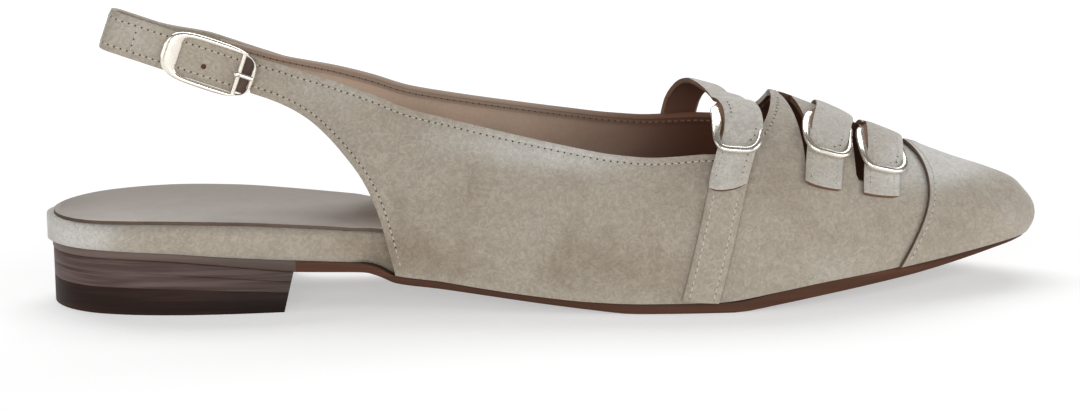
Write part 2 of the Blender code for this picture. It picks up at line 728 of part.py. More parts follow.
def cap_edge(share):
    """Station of the toe cap's edge at a share of the way from ridge to feather."""
    if share < CAP_FRONT_SHARE:
        end, away = CAP_AT_RIDGE, share / CAP_FRONT_SHARE - 1.0
    else:
        end, away = CAP_AT_FEATHER, (share - CAP_FRONT_SHARE) / (1.0 - CAP_FRONT_SHARE)
    return CAP_FRONT - (CAP_FRONT - end) * away * away


def make_toe_cap(collection):
    """Cap over the toe: the last's own surface ahead of the cap's edge, lifted off the upper."""
    bm = bmesh.new()
    for side in SIDES:
        def where(i, j, side=side):
            share = 1.0 - j / CAP_ROWS
            edge = cap_edge(1.0 - share)
            rest = (1 - i / CAP_COLUMNS) ** TIP_CROWDING
            return place(*last_point(side, UPPER_TIP - (UPPER_TIP - edge) * rest, share))

        mapped_grid(bm, CAP_COLUMNS, CAP_ROWS, where)
    clean(bm)
    face_outwards(bm)
    lift = (GAP + CAP_WALL) * MM
    moves = [(vert, vert.normal.copy()) for vert in bm.verts]
    for vert, normal in moves:
        vert.co += normal * lift
    cap = add_object("toe_cap", bm, SUEDE, collection)
    add_wall(cap, CAP_WALL)
    return cap


def skewed(girth, across, skew):
    """Girth at a place across a strap: its front edge lies nearer to the ridge."""
    return girth * (1.0 - skew * across)


def strap_sheet(name, start, end, route, lift_at, collection, skew=0.0):
    """Strap along a route over the last, lifted by lift_at(girth, across) to its outer face."""
    columns = round((end - start) / STRAP_STEP)

    def where(i, j):
        girth = start + (end - start) * i / columns
        across = STRAP_WIDTH * (j / STRAP_ROWS - 0.5)
        return lifted(route(girth) + across, skewed(girth, across, skew), lift_at(girth, across))

    bm = bmesh.new()
    mapped_grid(bm, columns, STRAP_ROWS, where)
    bm.normal_update()
    under = place(route(0.0), 0.0, 0.0)
    facing = sum(face.normal.dot(face.calc_center_median() - under) for face in bm.faces)
    if facing < 0.0:
        bmesh.ops.reverse_faces(bm, faces=bm.faces)
    strap = add_object(name, bm, SUEDE, collection)
    add_wall(strap, STRAP_WALL)
    return strap


def stacked(strap, along):
    """Height of the side strap that lies under a strap, fading out past the buckle."""
    return strap.stack * (STRAP_WALL + GAP) * (1.0 - ramp(along, *STACK_FADE))


def make_instep_strap(strap, rows, collection):
    """Buckled strap: tab end, hump over the buckle's straight side, and its run over the foot."""
    route = smooth_table(rows, "girth", "station")
    medial_end = strap.medial_end
    if medial_end is None:
        medial_end = half_girth("medial", route(STRAP_FOOT)) - GAP
    outer = GAP + STRAP_WALL
    back = smooth_table(SLACK, "girth", "back")
    front = smooth_table(SLACK, "girth", "front")

    def lift_at(girth, across):
        along = girth - strap.buckle
        hump = HUMP * ramp(along, *HUMP_RISE) * (1.0 - ramp(along, *HUMP_FALL))
        share = 0.5 + across / STRAP_WIDTH
        hang = strap.slack * (back(girth) * (1.0 - share) + front(girth) * share)
        return outer + hump + stacked(strap, along) - hang

    return strap_sheet(strap.name, strap.tab_end, medial_end, route, lift_at, collection, strap.skew)


def make_side_strap(collection):
    """Strap from the sole up the lateral side to the first buckle."""
    route = smooth_table(SIDE_ROUTE, "girth", "station")
    start = GAP - half_girth("lateral", route(SIDE_STRAP_FOOT))
    outer = GAP + STRAP_WALL
    return strap_sheet("side_strap", start, SIDE_STRAP_TOP, route, lambda girth, across: outer, collection)


def curve_tube(points, radii, closed):
    """Mesh of a round wire along points, with a radius at each, welded closed."""
    curve = bpy.data.curves.new("wire", "CURVE")
    curve.dimensions = "3D"
    curve.bevel_depth = MM
    curve.bevel_resolution = 2
    curve.use_fill_caps = True
    spline = curve.splines.new("POLY")
    spline.points.add(len(points) - 1)
    for point, target, radius in zip(spline.points, points, radii):
        point.co = (*target, 1.0)
        point.radius = radius
    spline.use_cyclic_u = closed
    wire = bpy.data.objects.new("wire", curve)
    bpy.context.scene.collection.objects.link(wire)
    bpy.context.view_layer.update()
    evaluated = wire.evaluated_get(bpy.context.evaluated_depsgraph_get())
    mesh = bpy.data.meshes.new_from_object(evaluated)
    bpy.data.objects.remove(wire)
    bm = bmesh.new()
    bm.from_mesh(mesh)
    bpy.data.meshes.remove(mesh)
    bmesh.ops.remove_doubles(bm, verts=bm.verts, dist=0.005 * MM)
    bmesh.ops.recalc_face_normals(bm, faces=bm.faces)
    return bm


def join_wires(name, wires, collection, cutters):
    """Fuse round wires into one metal piece."""
    piece = add_object(name, wires[0], BUCKLE_METAL, collection)
    for index, wire in enumerate(wires[1:]):
        other = add_object(f"{name}_join_{index}", wire, None, cutters)
        other.hide_render = True
        other.display_type = "WIRE"
        union = piece.modifiers.new("join", "BOOLEAN")
        union.operation = "UNION"
        union.object = other
    return piece


def make_instep_buckle(index, strap, rows, collection):
    """Wire frame round a strap: its straight side under the strap, its bow over the tab."""
    route = smooth_table(rows, "girth", "station")
    ring, radii = [], []
    for k in range(FRAME_STEPS):
        turn = 2 * math.pi * k / FRAME_STEPS
        cos, sin = math.cos(turn), math.sin(turn)
        share = math.copysign(abs(cos) ** (FRAME_CORNER if cos > 0.0 else FRAME_BOW), cos)
        along = FRAME_LENGTH / 2 * share
        across = FRAME_WIDTH / 2 * math.copysign(abs(sin) ** FRAME_CORNER, sin)
        lift = BAR_LIFT + (BOW_LIFT - BAR_LIFT) * ramp(-share, *FRAME_TILT)
        girth = strap.buckle + along
        lift += stacked(strap, along)
        ring.append(lifted(route(girth) + across, skewed(girth, across, strap.skew), lift))
        radii.append(WIRE_RADIUS + (BAR_RADIUS - WIRE_RADIUS) * ramp(share, *BAR_FROM))
    return add_object(f"instep_buckle_{index}", curve_tube(ring, radii, True), BUCKLE_METAL, collection)


def sling_place(along, y, across):
    """World point in the sling's slanting plane: along from the rear, sideways, and across its width."""
    station = SLING_REAR + along * math.cos(SLING_SLOPE) + across * math.sin(SLING_SLOPE)
    height = SLING_REAR_HEIGHT - along * math.sin(SLING_SLOPE) + across * math.cos(SLING_SLOPE)
    return place(station, y, height)


def sling_route():
    """Middle line of the sling strap in its plane: lateral run, narrow turn at the heel, medial run."""
    to_along = 1.0 / math.cos(SLING_SLOPE)
    lateral_end = (SLING_LATERAL_END - SLING_REAR) * to_along
    medial_end = (SLING_MEDIAL_END - SLING_REAR) * to_along
    parting = (SLING_PARTING - SLING_REAR) * to_along
    step_out = (SLING_OVERLAP_START - SLING_REAR) * to_along
    middle = SLING_TURN - SLING_SIDE
    route = []
    for along in np.linspace(lateral_end, SLING_TURN, SLING_RUN_STEPS)[:-1]:
        route.append((along, -SLING_SIDE))
    for turn in np.linspace(-math.pi / 2, math.pi / 2, SLING_TURN_STEPS):
        route.append((SLING_TURN * (1 - math.cos(turn)), middle + SLING_TURN * math.sin(turn)))
    beside = middle + SLING_TURN
    for along in np.linspace(SLING_TURN, medial_end, SLING_RUN_STEPS + 1)[1:]:
        station = SLING_REAR + along * math.cos(SLING_SLOPE)
        height = SLING_REAR_HEIGHT - along * math.sin(SLING_SLOPE)
        outside = half_at_height("medial", station, height) + GAP + STRAP_WALL / 2
        route.append((along, beside + (outside - beside) * ramp(along, parting, step_out)))
    return route


def make_sling_strap(collection):
    """Strap round the heel, from the medial quarter to the buckle on the lateral side."""
    route = sling_route()

    def where(i, j):
        along, y = route[i]
        return sling_place(along, y, SLING_WIDTH * (j / STRAP_ROWS - 0.5))

    bm = bmesh.new()
    mapped_grid(bm, len(route) - 1, STRAP_ROWS, where)
    bmesh.ops.recalc_face_normals(bm, faces=bm.faces)
    strap = add_object("sling_strap", bm, SUEDE, collection)
    add_wall(strap, STRAP_WALL)
    strap.modifiers["wall"].offset = 0.0
    return strap


def make_sling_buckle(collection, cutters):
    """Flat frame with one broad end, laid over the strap, with its bar and prong."""
    centre = (SLING_FRAME_CENTRE - SLING_REAR) / math.cos(SLING_SLOPE)
    outer_y = -(SLING_SIDE + STRAP_WALL / 2 + GAP)

    def outline(rear, front, half_width, roundness):
        points = []
        for k in range(SLING_FRAME_STEPS):
            turn = 2 * math.pi * k / SLING_FRAME_STEPS
            cos, sin = math.cos(turn), math.sin(turn)
            along = math.copysign(abs(cos) ** roundness, cos)
            across = half_width * math.copysign(abs(sin) ** roundness, sin)
            points.append(((rear + front) / 2 + along * (front - rear) / 2, across))
        return points

    half = SLING_FRAME_LENGTH / 2
    outside = outline(centre - half, centre + half, SLING_FRAME_WIDTH / 2, SLING_FRAME_ROUND)
    window = outline(centre - half + SLING_FRAME_PLATE, centre + half - SLING_FRAME_SIDE,
                     SLING_FRAME_WIDTH / 2 - SLING_FRAME_SIDE, SLING_WINDOW_ROUND)
    face_y = outer_y - SLING_FRAME_WALL
    rings = []
    for out, inner in zip(outside, window):
        corners = ((out, outer_y), (out, face_y), (inner, face_y), (inner, outer_y))
        rings.append([sling_place(point[0], y, point[1]) for point, y in corners])
    frame = body_through(rings, closed=True)
    bar_along = centre + half - SLING_BAR_FROM_FRONT
    middle = outer_y - SLING_FRAME_WALL / 2
    reach = SLING_FRAME_WIDTH / 2 - SLING_FRAME_SIDE / 2
    bar = [sling_place(bar_along, middle, reach * f) for f in (-1.0, 0.0, 1.0)]
    prong_end = centre + half - SLING_FRAME_SIDE / 2
    prong = [sling_place(bar_along - SLING_PRONG_BACK, middle, 0.0), sling_place(prong_end, middle, 0.0)]
    bar_wire = curve_tube(bar, [SLING_BAR_RADIUS] * len(bar), False)
    prong_wire = curve_tube(prong, [SLING_PRONG_RADIUS] * len(prong), False)
    return join_wires("sling_buckle", [frame, bar_wire, prong_wire], collection, cutters)


def main():
    for item in list(bpy.data.objects):
        bpy.data.objects.remove(item)
    parts = bpy.data.collections.new("slingback_shoe")
    cutters = bpy.data.collections.new("cutters")
    for collection in (parts, cutters):
        bpy.context.scene.collection.children.link(collection)
    make_outsole(parts)
    for lift in HEEL_LIFTS:
        make_heel(lift, parts)
    make_footbed(parts)
    make_sock(parts)
    make_upper(parts, cutters)
    make_toe_cap(parts)
    make_side_strap(parts)
    for index, (strap, rows) in enumerate(zip(STRAPS, STRAP_ROUTES), start=1):
        make_instep_strap(strap, rows, parts)
        make_instep_buckle(index, strap, rows, parts)
    make_sling_strap(parts)
    make_sling_buckle(parts, cutters)


main()
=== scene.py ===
"""Looks of a flat suede slingback shoe for the right foot, dressed over its solids.

Tables are in millimetres, as a shoemaker counts them, and turned into metres where a mesh is placed.
Stations run from the heel back (0) to the toe. The outer, lateral side is at -Y, the inner, medial at +Y.
"""

import math

import bmesh
import bpy
import numpy as np
from mathutils import Matrix, Vector

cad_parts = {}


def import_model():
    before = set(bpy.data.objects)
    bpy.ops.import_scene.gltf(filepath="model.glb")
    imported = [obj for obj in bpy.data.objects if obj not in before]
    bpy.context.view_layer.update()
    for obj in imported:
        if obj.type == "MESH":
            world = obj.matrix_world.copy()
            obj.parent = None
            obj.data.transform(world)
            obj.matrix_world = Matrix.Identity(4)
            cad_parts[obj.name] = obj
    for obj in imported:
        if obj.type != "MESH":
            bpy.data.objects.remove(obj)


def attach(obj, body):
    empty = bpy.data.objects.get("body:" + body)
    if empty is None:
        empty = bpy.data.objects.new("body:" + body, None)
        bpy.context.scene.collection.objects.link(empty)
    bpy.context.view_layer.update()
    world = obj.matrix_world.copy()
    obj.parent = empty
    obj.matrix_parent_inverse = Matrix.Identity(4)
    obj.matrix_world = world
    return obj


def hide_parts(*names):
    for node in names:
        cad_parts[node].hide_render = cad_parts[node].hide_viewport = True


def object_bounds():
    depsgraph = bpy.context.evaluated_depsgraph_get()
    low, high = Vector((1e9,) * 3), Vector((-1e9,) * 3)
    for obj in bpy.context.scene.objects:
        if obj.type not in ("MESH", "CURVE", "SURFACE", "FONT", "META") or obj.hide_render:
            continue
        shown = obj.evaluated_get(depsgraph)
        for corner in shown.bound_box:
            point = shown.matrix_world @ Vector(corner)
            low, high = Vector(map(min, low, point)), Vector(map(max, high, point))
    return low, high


bl_info = {
    "name": "Slingback Shoe Looks",
    "version": (1, 0, 0),
    "blender": (4, 5, 0),
    "location": "View3D > Sidebar > Shoe",
    "description": "Dresses a slingback shoe: suede, lining, stitching, straps, buckles, sole and stage",
    "category": "Object",
}

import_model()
CAD_LOW, CAD_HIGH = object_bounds()

MM = 0.001
LENGTH = (CAD_HIGH.x - CAD_LOW.x) / MM
GAP = 0.3                 # clearance that the solids keep between pieces
UPPER_TIP = 257.2         # station of the upper's foremost feather point
TOE_OVERHANG = 1.8        # how far the toe swells past its feather line
TOE_OVERHANG_START = 236.0
TIP_SIDE = 3.2            # the toe point lies this far to the medial side
QUARTER_START = 92.0
THROAT_SIDE = 172.0       # where the top line starts to turn across the foot
THROAT_FRONT = 190.7
THROAT_SQUARE = {"lateral": 0.8, "medial": 0.58}
TAIL_END = {"lateral": 55.0, "medial": 47.0}
TIP_CROWDING = 1.7
LAST_STEP, GIRTH_STEP = 0.4, 0.6   # short steps for the last's normals
SHARE_STEP = 0.01
RIDGE_SIDE = 0.985        # share just beside the ridge, where a normal is sure
SIDES = {"lateral": -1.0, "medial": 1.0}


def table(columns, *rows):
    """Short table: each named column as an array."""
    return dict(zip(columns.split(), np.array(rows, float).T))


# The last and the upper's edges
SOLE_OUTLINE = table(
    "station lateral medial",
    (0.0, 0.0, 0.0), (4.0, 13.0, 13.0), (11.0, 20.4, 20.4), (21.0, 25.4, 25.2), (34.0, 27.9, 27.5),
    (48.0, 28.3, 27.7), (64.0, 27.3, 26.2), (80.0, 26.2, 24.2), (96.0, 27.8, 24.6), (112.0, 30.2, 26.0),
    (132.0, 35.0, 31.0), (152.0, 39.0, 36.6), (170.0, 40.2, 40.2), (184.0, 39.8, 40.6), (199.0, 36.0, 37.6),
    (213.0, 30.4, 33.0), (227.0, 23.2, 27.4), (239.0, 16.2, 21.4), (248.0, 10.0, 15.6), (254.0, 4.6, 10.4),
    (UPPER_TIP, -TIP_SIDE, TIP_SIDE))
TAIL_OUTLINE = table(
    "station lateral medial",
    (44.0, 8.0, 8.0), (56.0, 8.3, 8.3), (63.0, 9.6, 9.6), (70.0, 14.2, 14.0), (77.0, 20.6, 19.4),
    (84.0, 25.2, 22.8))
LAST = table(
    "station feather ridge flare wall crown",
    (44.0, 14.0, 94.0, -0.4, 0.50, 0.85), (56.0, 14.0, 91.0, -0.5, 0.50, 0.80),
    (66.0, 13.5, 87.0, -1.6, 0.50, 0.60), (76.0, 13.0, 80.0, -5.0, 0.50, 0.34),
    (84.0, 12.0, 74.0, -6.0, 0.52, 0.28), (92.0, 9.2, 70.0, -4.6, 0.54, 0.26),
    (103.0, 7.9, 66.0, -1.6, 0.56, 0.32), (114.0, 6.1, 64.0, 0.2, 0.58, 0.40),
    (128.0, 4.4, 60.0, 1.4, 0.60, 0.52), (142.0, 3.2, 56.5, 2.0, 0.62, 0.60),
    (156.0, 2.8, 53.6, 2.2, 0.64, 0.62), (174.0, 2.9, 51.8, 2.2, 0.64, 0.60),
    (190.7, 5.0, 50.4, 2.2, 0.60, 0.58), (202.0, 6.4, 46.4, 2.2, 0.58, 0.56),
    (214.0, 7.4, 40.6, 2.2, 0.58, 0.56), (226.0, 8.4, 35.2, 2.0, 0.58, 0.56),
    (238.0, 9.6, 30.3, 1.6, 0.58, 0.56), (248.0, 10.8, 26.8, 1.0, 0.58, 0.56),
    (254.0, 11.6, 24.0, 0.4, 0.58, 0.56), (UPPER_TIP, 12.0, 20.4, 0.0, 0.58, 0.56))
TOP_LINE = table(
    "station lateral medial",
    (44.0, 68.0, 68.0), (56.0, 64.2, 64.2), (66.0, 61.0, 61.2), (76.0, 58.2, 58.8), (86.0, 54.9, 55.9),
    (96.0, 51.0, 52.3), (108.0, 48.2, 49.5), (122.0, 45.2, 46.5), (136.0, 42.4, 43.6), (150.0, 40.0, 41.0),
    (160.0, 39.2, 40.0), (172.0, 39.6, 40.2))
BACK_EDGE = table(
    "station height",
    (44.0, 57.8), (55.0, 54.6), (63.5, 51.4), (69.0, 48.6), (74.6, 44.2), (79.9, 38.6), (84.0, 33.2),
    (87.6, 25.6), (90.2, 16.6), (92.0, 9.2))
CAP_FRONT, CAP_FRONT_SHARE, CAP_AT_RIDGE, CAP_AT_FEATHER = 230.4, 0.5, 225.0, 221.8
SLOTS = table(
    "ridge_station lateral_station ridge_width end_width end_height",
    (194.8, 199.4, 3.6, 1.8, 35.2), (212.4, 213.4, 3.4, 3.6, 30.2))
SLOT_LATERAL_SPAN, SLOT_MEDIAL_SPAN, SLOT_CLEAR = 30.0, 8.0, 8.0

# Sole, insole and heel
SOLE = table(
    "station bottom top",
    (0.0, 14.6, 16.5), (20.0, 14.6, 16.5), (32.0, 14.2, 16.2), (46.0, 12.9, 15.1), (58.0, 11.4, 14.1),
    (66.0, 10.5, 13.5), (76.0, 10.1, 12.7), (84.0, 9.9, 12.1), (88.0, 8.8, 10.9), (92.0, 7.1, 8.9),
    (103.0, 5.7, 7.6), (114.0, 4.2, 5.8), (128.0, 2.5, 4.1), (142.0, 1.0, 2.9), (154.0, 0.0, 2.5),
    (178.0, 0.0, 2.6), (190.7, 1.5, 4.7), (202.0, 2.9, 6.1), (214.0, 4.2, 7.1), (226.0, 5.5, 8.1),
    (238.0, 7.3, 9.3), (248.0, 9.0, 10.5), (254.0, 9.9, 11.3), (UPPER_TIP, 10.3, 11.7))
INSOLE = table(
    "station top",
    (0.0, 24.2), (30.0, 24.8), (48.0, 24.3), (66.0, 23.0), (86.0, 21.0), (102.0, 18.0), (120.0, 13.8),
    (138.0, 9.8), (154.0, 7.2), (172.0, 6.4), (190.0, 8.0), (208.0, 10.4), (228.0, 12.2), (246.0, 14.0),
    (UPPER_TIP, 15.0))
SOLE_INSET, SEAT_INSET, HEEL_INSET, SOCK_INSET = 0.4, 1.3, 1.5, 2.0
HEEL_TURN, TIP_FADE = 26.0, 3.0
INSOLE_TIP = 251.0
RAND_HIDDEN_FROM, RAND_HIDDEN_BY = 80.0, 89.2
HEEL_BREAST, BREAST_LEAN, BREAST_LEAN_START = 63.0, 2.6, 40.0
HEEL_SHADE_START = 20.0
HEEL_LIFTS = {
    "heel_top_piece": (0.0, 0.485), "heel_lift_lower": (0.485, 0.755), "heel_lift_upper": (0.755, 1.0)}

# Straps: tab end, buckle and medial end in girth from the ridge, and the line that each follows
# A strap's shade is added to the nap values of its suede: the negative values make the straps paler, painted
# highlight on their upward faces.
STRAPS = {
    1: {"tab_end": -43.5, "buckle": -25.0, "medial_end": None, "stack": 1, "skew": 0.0, "slack": 1,
        "end_bow": 1.2, "end_skew": 0.19, "shift": 1.0, "shade": -0.75},
    2: {"tab_end": -35.6, "buckle": -17.4, "medial_end": 26.0, "stack": 0, "skew": 0.008, "slack": 0,
        "end_bow": 0.7, "end_skew": -0.03, "shift": 0.0, "shade": -0.75},
    3: {"tab_end": -29.4, "buckle": -13.6, "medial_end": 22.0, "stack": 0, "skew": 0.016, "slack": 0,
        "end_bow": 0.5, "end_skew": 0.0, "shift": 0.3, "shade": -0.45},
}
STRAP_ROUTES = {
    1: table("girth station", (-60.0, 177.0), (-43.0, 177.6), (-32.0, 180.2), (-24.0, 181.2), (-12.0, 179.6),
             (0.0, 176.6), (12.0, 173.6), (20.0, 171.2), (30.0, 168.3), (70.0, 164.0)),
    2: table("girth station", (-40.0, 201.8), (-28.0, 202.8), (-17.0, 204.4), (-6.0, 206.4), (0.0, 207.2),
             (40.0, 204.5)),
    3: table("girth station", (-40.0, 216.8), (-26.0, 217.6), (-14.0, 218.5), (0.0, 219.0), (40.0, 215.0)),
}
SIDE_ROUTE = table(
    "girth station", (-75.0, 169.4), (-60.0, 173.4), (-43.0, 177.6), (-32.0, 180.2), (-24.0, 181.2))
STRAP_FOOT, SIDE_STRAP_FOOT, SIDE_STRAP_TOP = 60.0, -65.0, -26.0
HUMP, HUMP_RISE, HUMP_FALL = 1.5, (-6.0, -1.5), (9.0, 14.5)
SHIFT_RISE, SHIFT_FALL = (-9.0, -3.0), (5.0, 14.0)
FLANK_SPAN, FLANK_REACH = (-3.6, 9.0), 1.35
SLACK = table(
    "girth back front",
    (-16.0, 0.0, 0.0), (-8.0, 0.1, 1.3), (2.0, 0.0, 3.2), (12.0, -0.7, 1.2), (21.0, -1.2, -0.6),
    (32.0, -0.6, -0.4), (44.0, 0.0, 0.0))
STACK_FADE, STRAP_GAP = (0.0, 12.0), 0.12
FRAME_LENGTH, FRAME_WIDTH, FRAME_CORNER, FRAME_BOW = 17.5, 11.8, 0.5, 0.72
BAR_LIFT, BOW_LIFT, FRAME_TILT, BAR_FROM = 0.9, 2.75, (-0.6, 0.9), (0.7, 0.95)

# Sling
SLING_SLOPE = math.radians(20.0)
SLING_REAR, SLING_REAR_HEIGHT, SLING_WIDTH = 18.3, 72.4, 10.8
SLING_SIDE, SLING_TURN, SLING_PARTING = 8.2, 2.6, 29.0
SLING_LATERAL_END, SLING_MEDIAL_END, SLING_OVERLAP_START = 52.6, 66.0, 44.4
SLING_FRAME_CENTRE, SLING_FRAME_LENGTH, SLING_FRAME_WIDTH = 44.6, 25.0, 13.4
SLING_BAR_FROM_FRONT, SLING_MARK = 4.2, 7.6
SLING_HOLE_ALONG, SLING_HOLE_ACROSS, SLING_HOLE_RADIUS = 27.0, -1.1, 0.72

# Soft creases of the suede: depth is positive for a trough, angle is up from the heel-to-toe line
CREASES = table(
    "side station height length width angle depth",
    (-1, 166.0, 33.0, 12.0, 2.6, 72.0, 0.34), (-1, 170.5, 22.0, 16.0, 3.2, 76.0, 0.22),
    (-1, 124.0, 31.0, 24.0, 5.5, -18.0, 0.30), (-1, 101.0, 24.0, 18.0, 5.0, 58.0, 0.30),
    (-1, 139.0, 18.0, 26.0, 6.0, 12.0, -0.26), (-1, 196.0, 27.0, 11.0, 3.4, 18.0, 0.28),
    (-1, 212.0, 19.0, 12.0, 3.6, -14.0, 0.22), (-1, 88.0, 44.0, 14.0, 4.0, -40.0, 0.22),
    (1, 150.0, 28.0, 22.0, 5.0, 24.0, 0.30), (1, 112.0, 30.0, 26.0, 5.5, -14.0, 0.30),
    (1, 190.0, 30.0, 14.0, 4.0, 20.0, 0.26), (1, 208.0, 22.0, 14.0, 4.0, -12.0, 0.22))
# Areas of the nap that lie darker or paler, listed one by one, with painted light among them: shade is
# positive where the suede is darker.
# The pale areas on the toe cap's top, the quarter's top, the rand's back and the sling are painted highlight;
# the dark area low at the rand's front is painted shade.
BRUSHED_AND_LIT = table(
    "station height reach rise shade",
    (111.0, 30.0, 14.0, 9.0, 0.55), (100.0, 13.0, 13.0, 7.0, 0.7), (146.0, 12.0, 26.0, 8.0, 0.8),
    (159.0, 23.0, 7.0, 12.0, 0.5), (193.0, 33.0, 8.0, 9.0, 0.6), (128.0, 22.0, 9.0, 7.0, -0.3),
    (137.0, 40.0, 24.0, 5.0, -0.9), (116.0, 44.0, 16.0, 6.0, -0.6), (204.0, 9.0, 14.0, 5.0, -0.4),
    (172.0, 8.0, 6.0, 8.0, -0.25), (238.0, 33.0, 14.0, 6.0, -1.9), (220.0, 27.0, 8.0, 6.0, -0.2),
    (80.0, 55.0, 16.0, 6.0, -0.5), (234.0, 15.0, 14.0, 6.0, 0.3), (8.0, 21.0, 14.0, 7.0, -1.3),
    (253.0, 17.0, 6.0, 5.0, -0.3), (24.0, 72.0, 12.0, 8.0, -0.4), (80.0, 17.0, 14.0, 6.0, 0.9))


class ShoeSizes(bpy.types.PropertyGroup):
    """Wall and thread sizes that a maker would change"""

    upper_wall: bpy.props.FloatProperty(
        name="Upper wall", description="Suede and lining together", default=1.6 * MM, unit="LENGTH")
    cap_wall: bpy.props.FloatProperty(
        name="Cap wall", description="Thickness of the toe cap", default=1.0 * MM, unit="LENGTH")
    strap_wall: bpy.props.FloatProperty(
        name="Strap wall", description="Thickness of a folded strap", default=1.3 * MM, unit="LENGTH")
    strap_width: bpy.props.FloatProperty(
        name="Strap width", description="Width of the instep straps", default=9.5 * MM, unit="LENGTH")
    sock_wall: bpy.props.FloatProperty(
        name="Sock wall", description="Thickness of the leather sock", default=0.9 * MM, unit="LENGTH")
    stitch_pitch: bpy.props.FloatProperty(
        name="Stitch pitch", description="Distance between needle holes", default=1.75 * MM, unit="LENGTH")
    stitch_inset: bpy.props.FloatProperty(
        name="Stitch inset", description="Distance of a row from its edge", default=1.9 * MM, unit="LENGTH")
    thread: bpy.props.FloatProperty(
        name="Thread", description="Thickness of the sewing thread", default=0.4 * MM, unit="LENGTH")
    needle_hole: bpy.props.FloatProperty(
        name="Needle hole", description="Width of a needle hole", default=0.48 * MM, unit="LENGTH")


def colour_prop(name, description, default):
    return bpy.props.FloatVectorProperty(
        name=name, description=description, default=default, subtype="COLOR", size=3, min=0.0, max=1.0)


def light_prop(name, description, default, unit="POWER"):
    return bpy.props.FloatProperty(name=name, description=description, default=default, min=0.0, unit=unit)


class ShoeColours(bpy.types.PropertyGroup):
    """Colours of the shoe's materials"""

    suede: colour_prop("Suede", "Suede with its nap at rest", (0.36, 0.317, 0.258))
    # The dark and pale suede stand both for nap that lies darker or paler and for painted shade and painted
    # highlight.
    suede_dark_and_shade: colour_prop("Suede, dark", "Nap brushed away from the light", (0.262, 0.213, 0.158))
    suede_pale_and_highlight: colour_prop("Suede, light", "Nap brushed towards the light", (0.55, 0.535, 0.50))
    lining: colour_prop("Lining", "Brown leather lining", (0.55, 0.41, 0.315))
    # Painted shade inside the toe, not a colour of the lining itself.
    lining_toe_shade: colour_prop("Lining, deep", "Lining towards the toe", (0.15, 0.066, 0.040))
    lining_band: colour_prop("Lining band", "Turned-in band along the top line", (0.31, 0.23, 0.174))
    sock: colour_prop("Sock", "Taupe leather sock", (0.345, 0.30, 0.262))
    raw_edge: colour_prop("Raw edge", "Cut leather edge", (0.20, 0.105, 0.065))
    dark_edge: colour_prop("Dark edge", "Stained edge of the sock and the toe cap", (0.125, 0.083, 0.063))
    # The sole edge is darker than the seat partly by its wax and partly by painted shade along the sole in
    # front of the heel.
    sole: colour_prop("Sole edge", "Waxed sole leather", (0.066, 0.0275, 0.0155))
    seat: colour_prop("Seat edge", "Sole leather over the heel", (0.115, 0.075, 0.06))
    heel: colour_prop("Heel stack", "Dark stacked leather", (0.062, 0.036, 0.031))
    heel_light: colour_prop("Heel lines", "Lighter lines in the stack", (0.145, 0.10, 0.09))
    top_piece: colour_prop("Top piece", "Dark rubber under the heel", (0.016, 0.0064, 0.0048))
    top_piece_worn: colour_prop("Top piece, worn", "Rubbed lines of the top piece", (0.055, 0.023, 0.0105))
    metal: colour_prop("Metal", "Pale gold plate", (0.86, 0.80, 0.71))
    thread: colour_prop("Thread", "Sewing thread", (0.50, 0.46, 0.40))
    lining_thread: colour_prop("Lining thread", "Brown thread on the lining", (0.20, 0.13, 0.095))


class ShoeStage(bpy.types.PropertyGroup):
    """Camera, lights and floor"""

    elevation: bpy.props.FloatProperty(
        name="Elevation", description="Camera height angle", default=math.radians(11.2), subtype="ANGLE")
    roll: bpy.props.FloatProperty(
        name="Roll", description="Turn of the picture, right side up", default=math.radians(1.4),
        subtype="ANGLE")
    distance: bpy.props.FloatProperty(
        name="Distance", description="Camera to shoe", default=1.25, unit="LENGTH")
    lens: bpy.props.FloatProperty(
        name="Lens", description="Focal length in millimetres", default=158.3, unit="CAMERA")
    aim: bpy.props.FloatVectorProperty(
        name="Aim", description="Point at the picture's middle", default=(-0.0004, 0.0, 0.0213),
        unit="LENGTH")
    floor: colour_prop("Floor", "Plain pale floor", (0.62, 0.62, 0.62))
    glow: light_prop("Floor glow", "Light that the floor gives itself", 0.45, "NONE")
    back: light_prop("Back light", "Power of the light behind and above", 18.0)
    front: light_prop("Front light", "Power of the low light in front", 11.7)
    left: light_prop("Left light", "Power of the light at the heel", 3.0)
    right: light_prop("Right light", "Power of the light at the toe", 6.2)
    sky: light_prop("Sky", "Strength of the even light all round", 0.07, "NONE")


def ramp(x, start, end):
    """Smooth step from 0 at start to 1 at end."""
    f = np.clip((np.asarray(x, float) - start) / (end - start), 0.0, 1.0)
    return f * f * (3 - 2 * f)


def smooth_line(rows, key, value):
    """Shape-keeping cubic through a table's column: no overshoot between its rows."""
    xs, ys = rows[key], rows[value]
    step = np.diff(xs)
    slope = np.diff(ys) / step
    tangent = np.zeros(len(xs))
    tangent[0], tangent[-1] = slope[0], slope[-1]
    for i in range(1, len(xs) - 1):
        if slope[i - 1] * slope[i] > 0.0:
            before, after = 2 * step[i] + step[i - 1], step[i] + 2 * step[i - 1]
            tangent[i] = (before + after) / (before / slope[i - 1] + after / slope[i])

    def value_at(x):
        x = np.clip(x, xs[0], xs[-1])
        i = np.clip(np.searchsorted(xs, x, side="right") - 1, 0, len(step) - 1)
        f = (x - xs[i]) / step[i]
        rise = (1 + 2 * f) * (1 - f) ** 2 * ys[i] + f * f * (3 - 2 * f) * ys[i + 1]
        return rise + step[i] * f * (1 - f) * ((1 - f) * tangent[i] - f * tangent[i + 1])

    return value_at


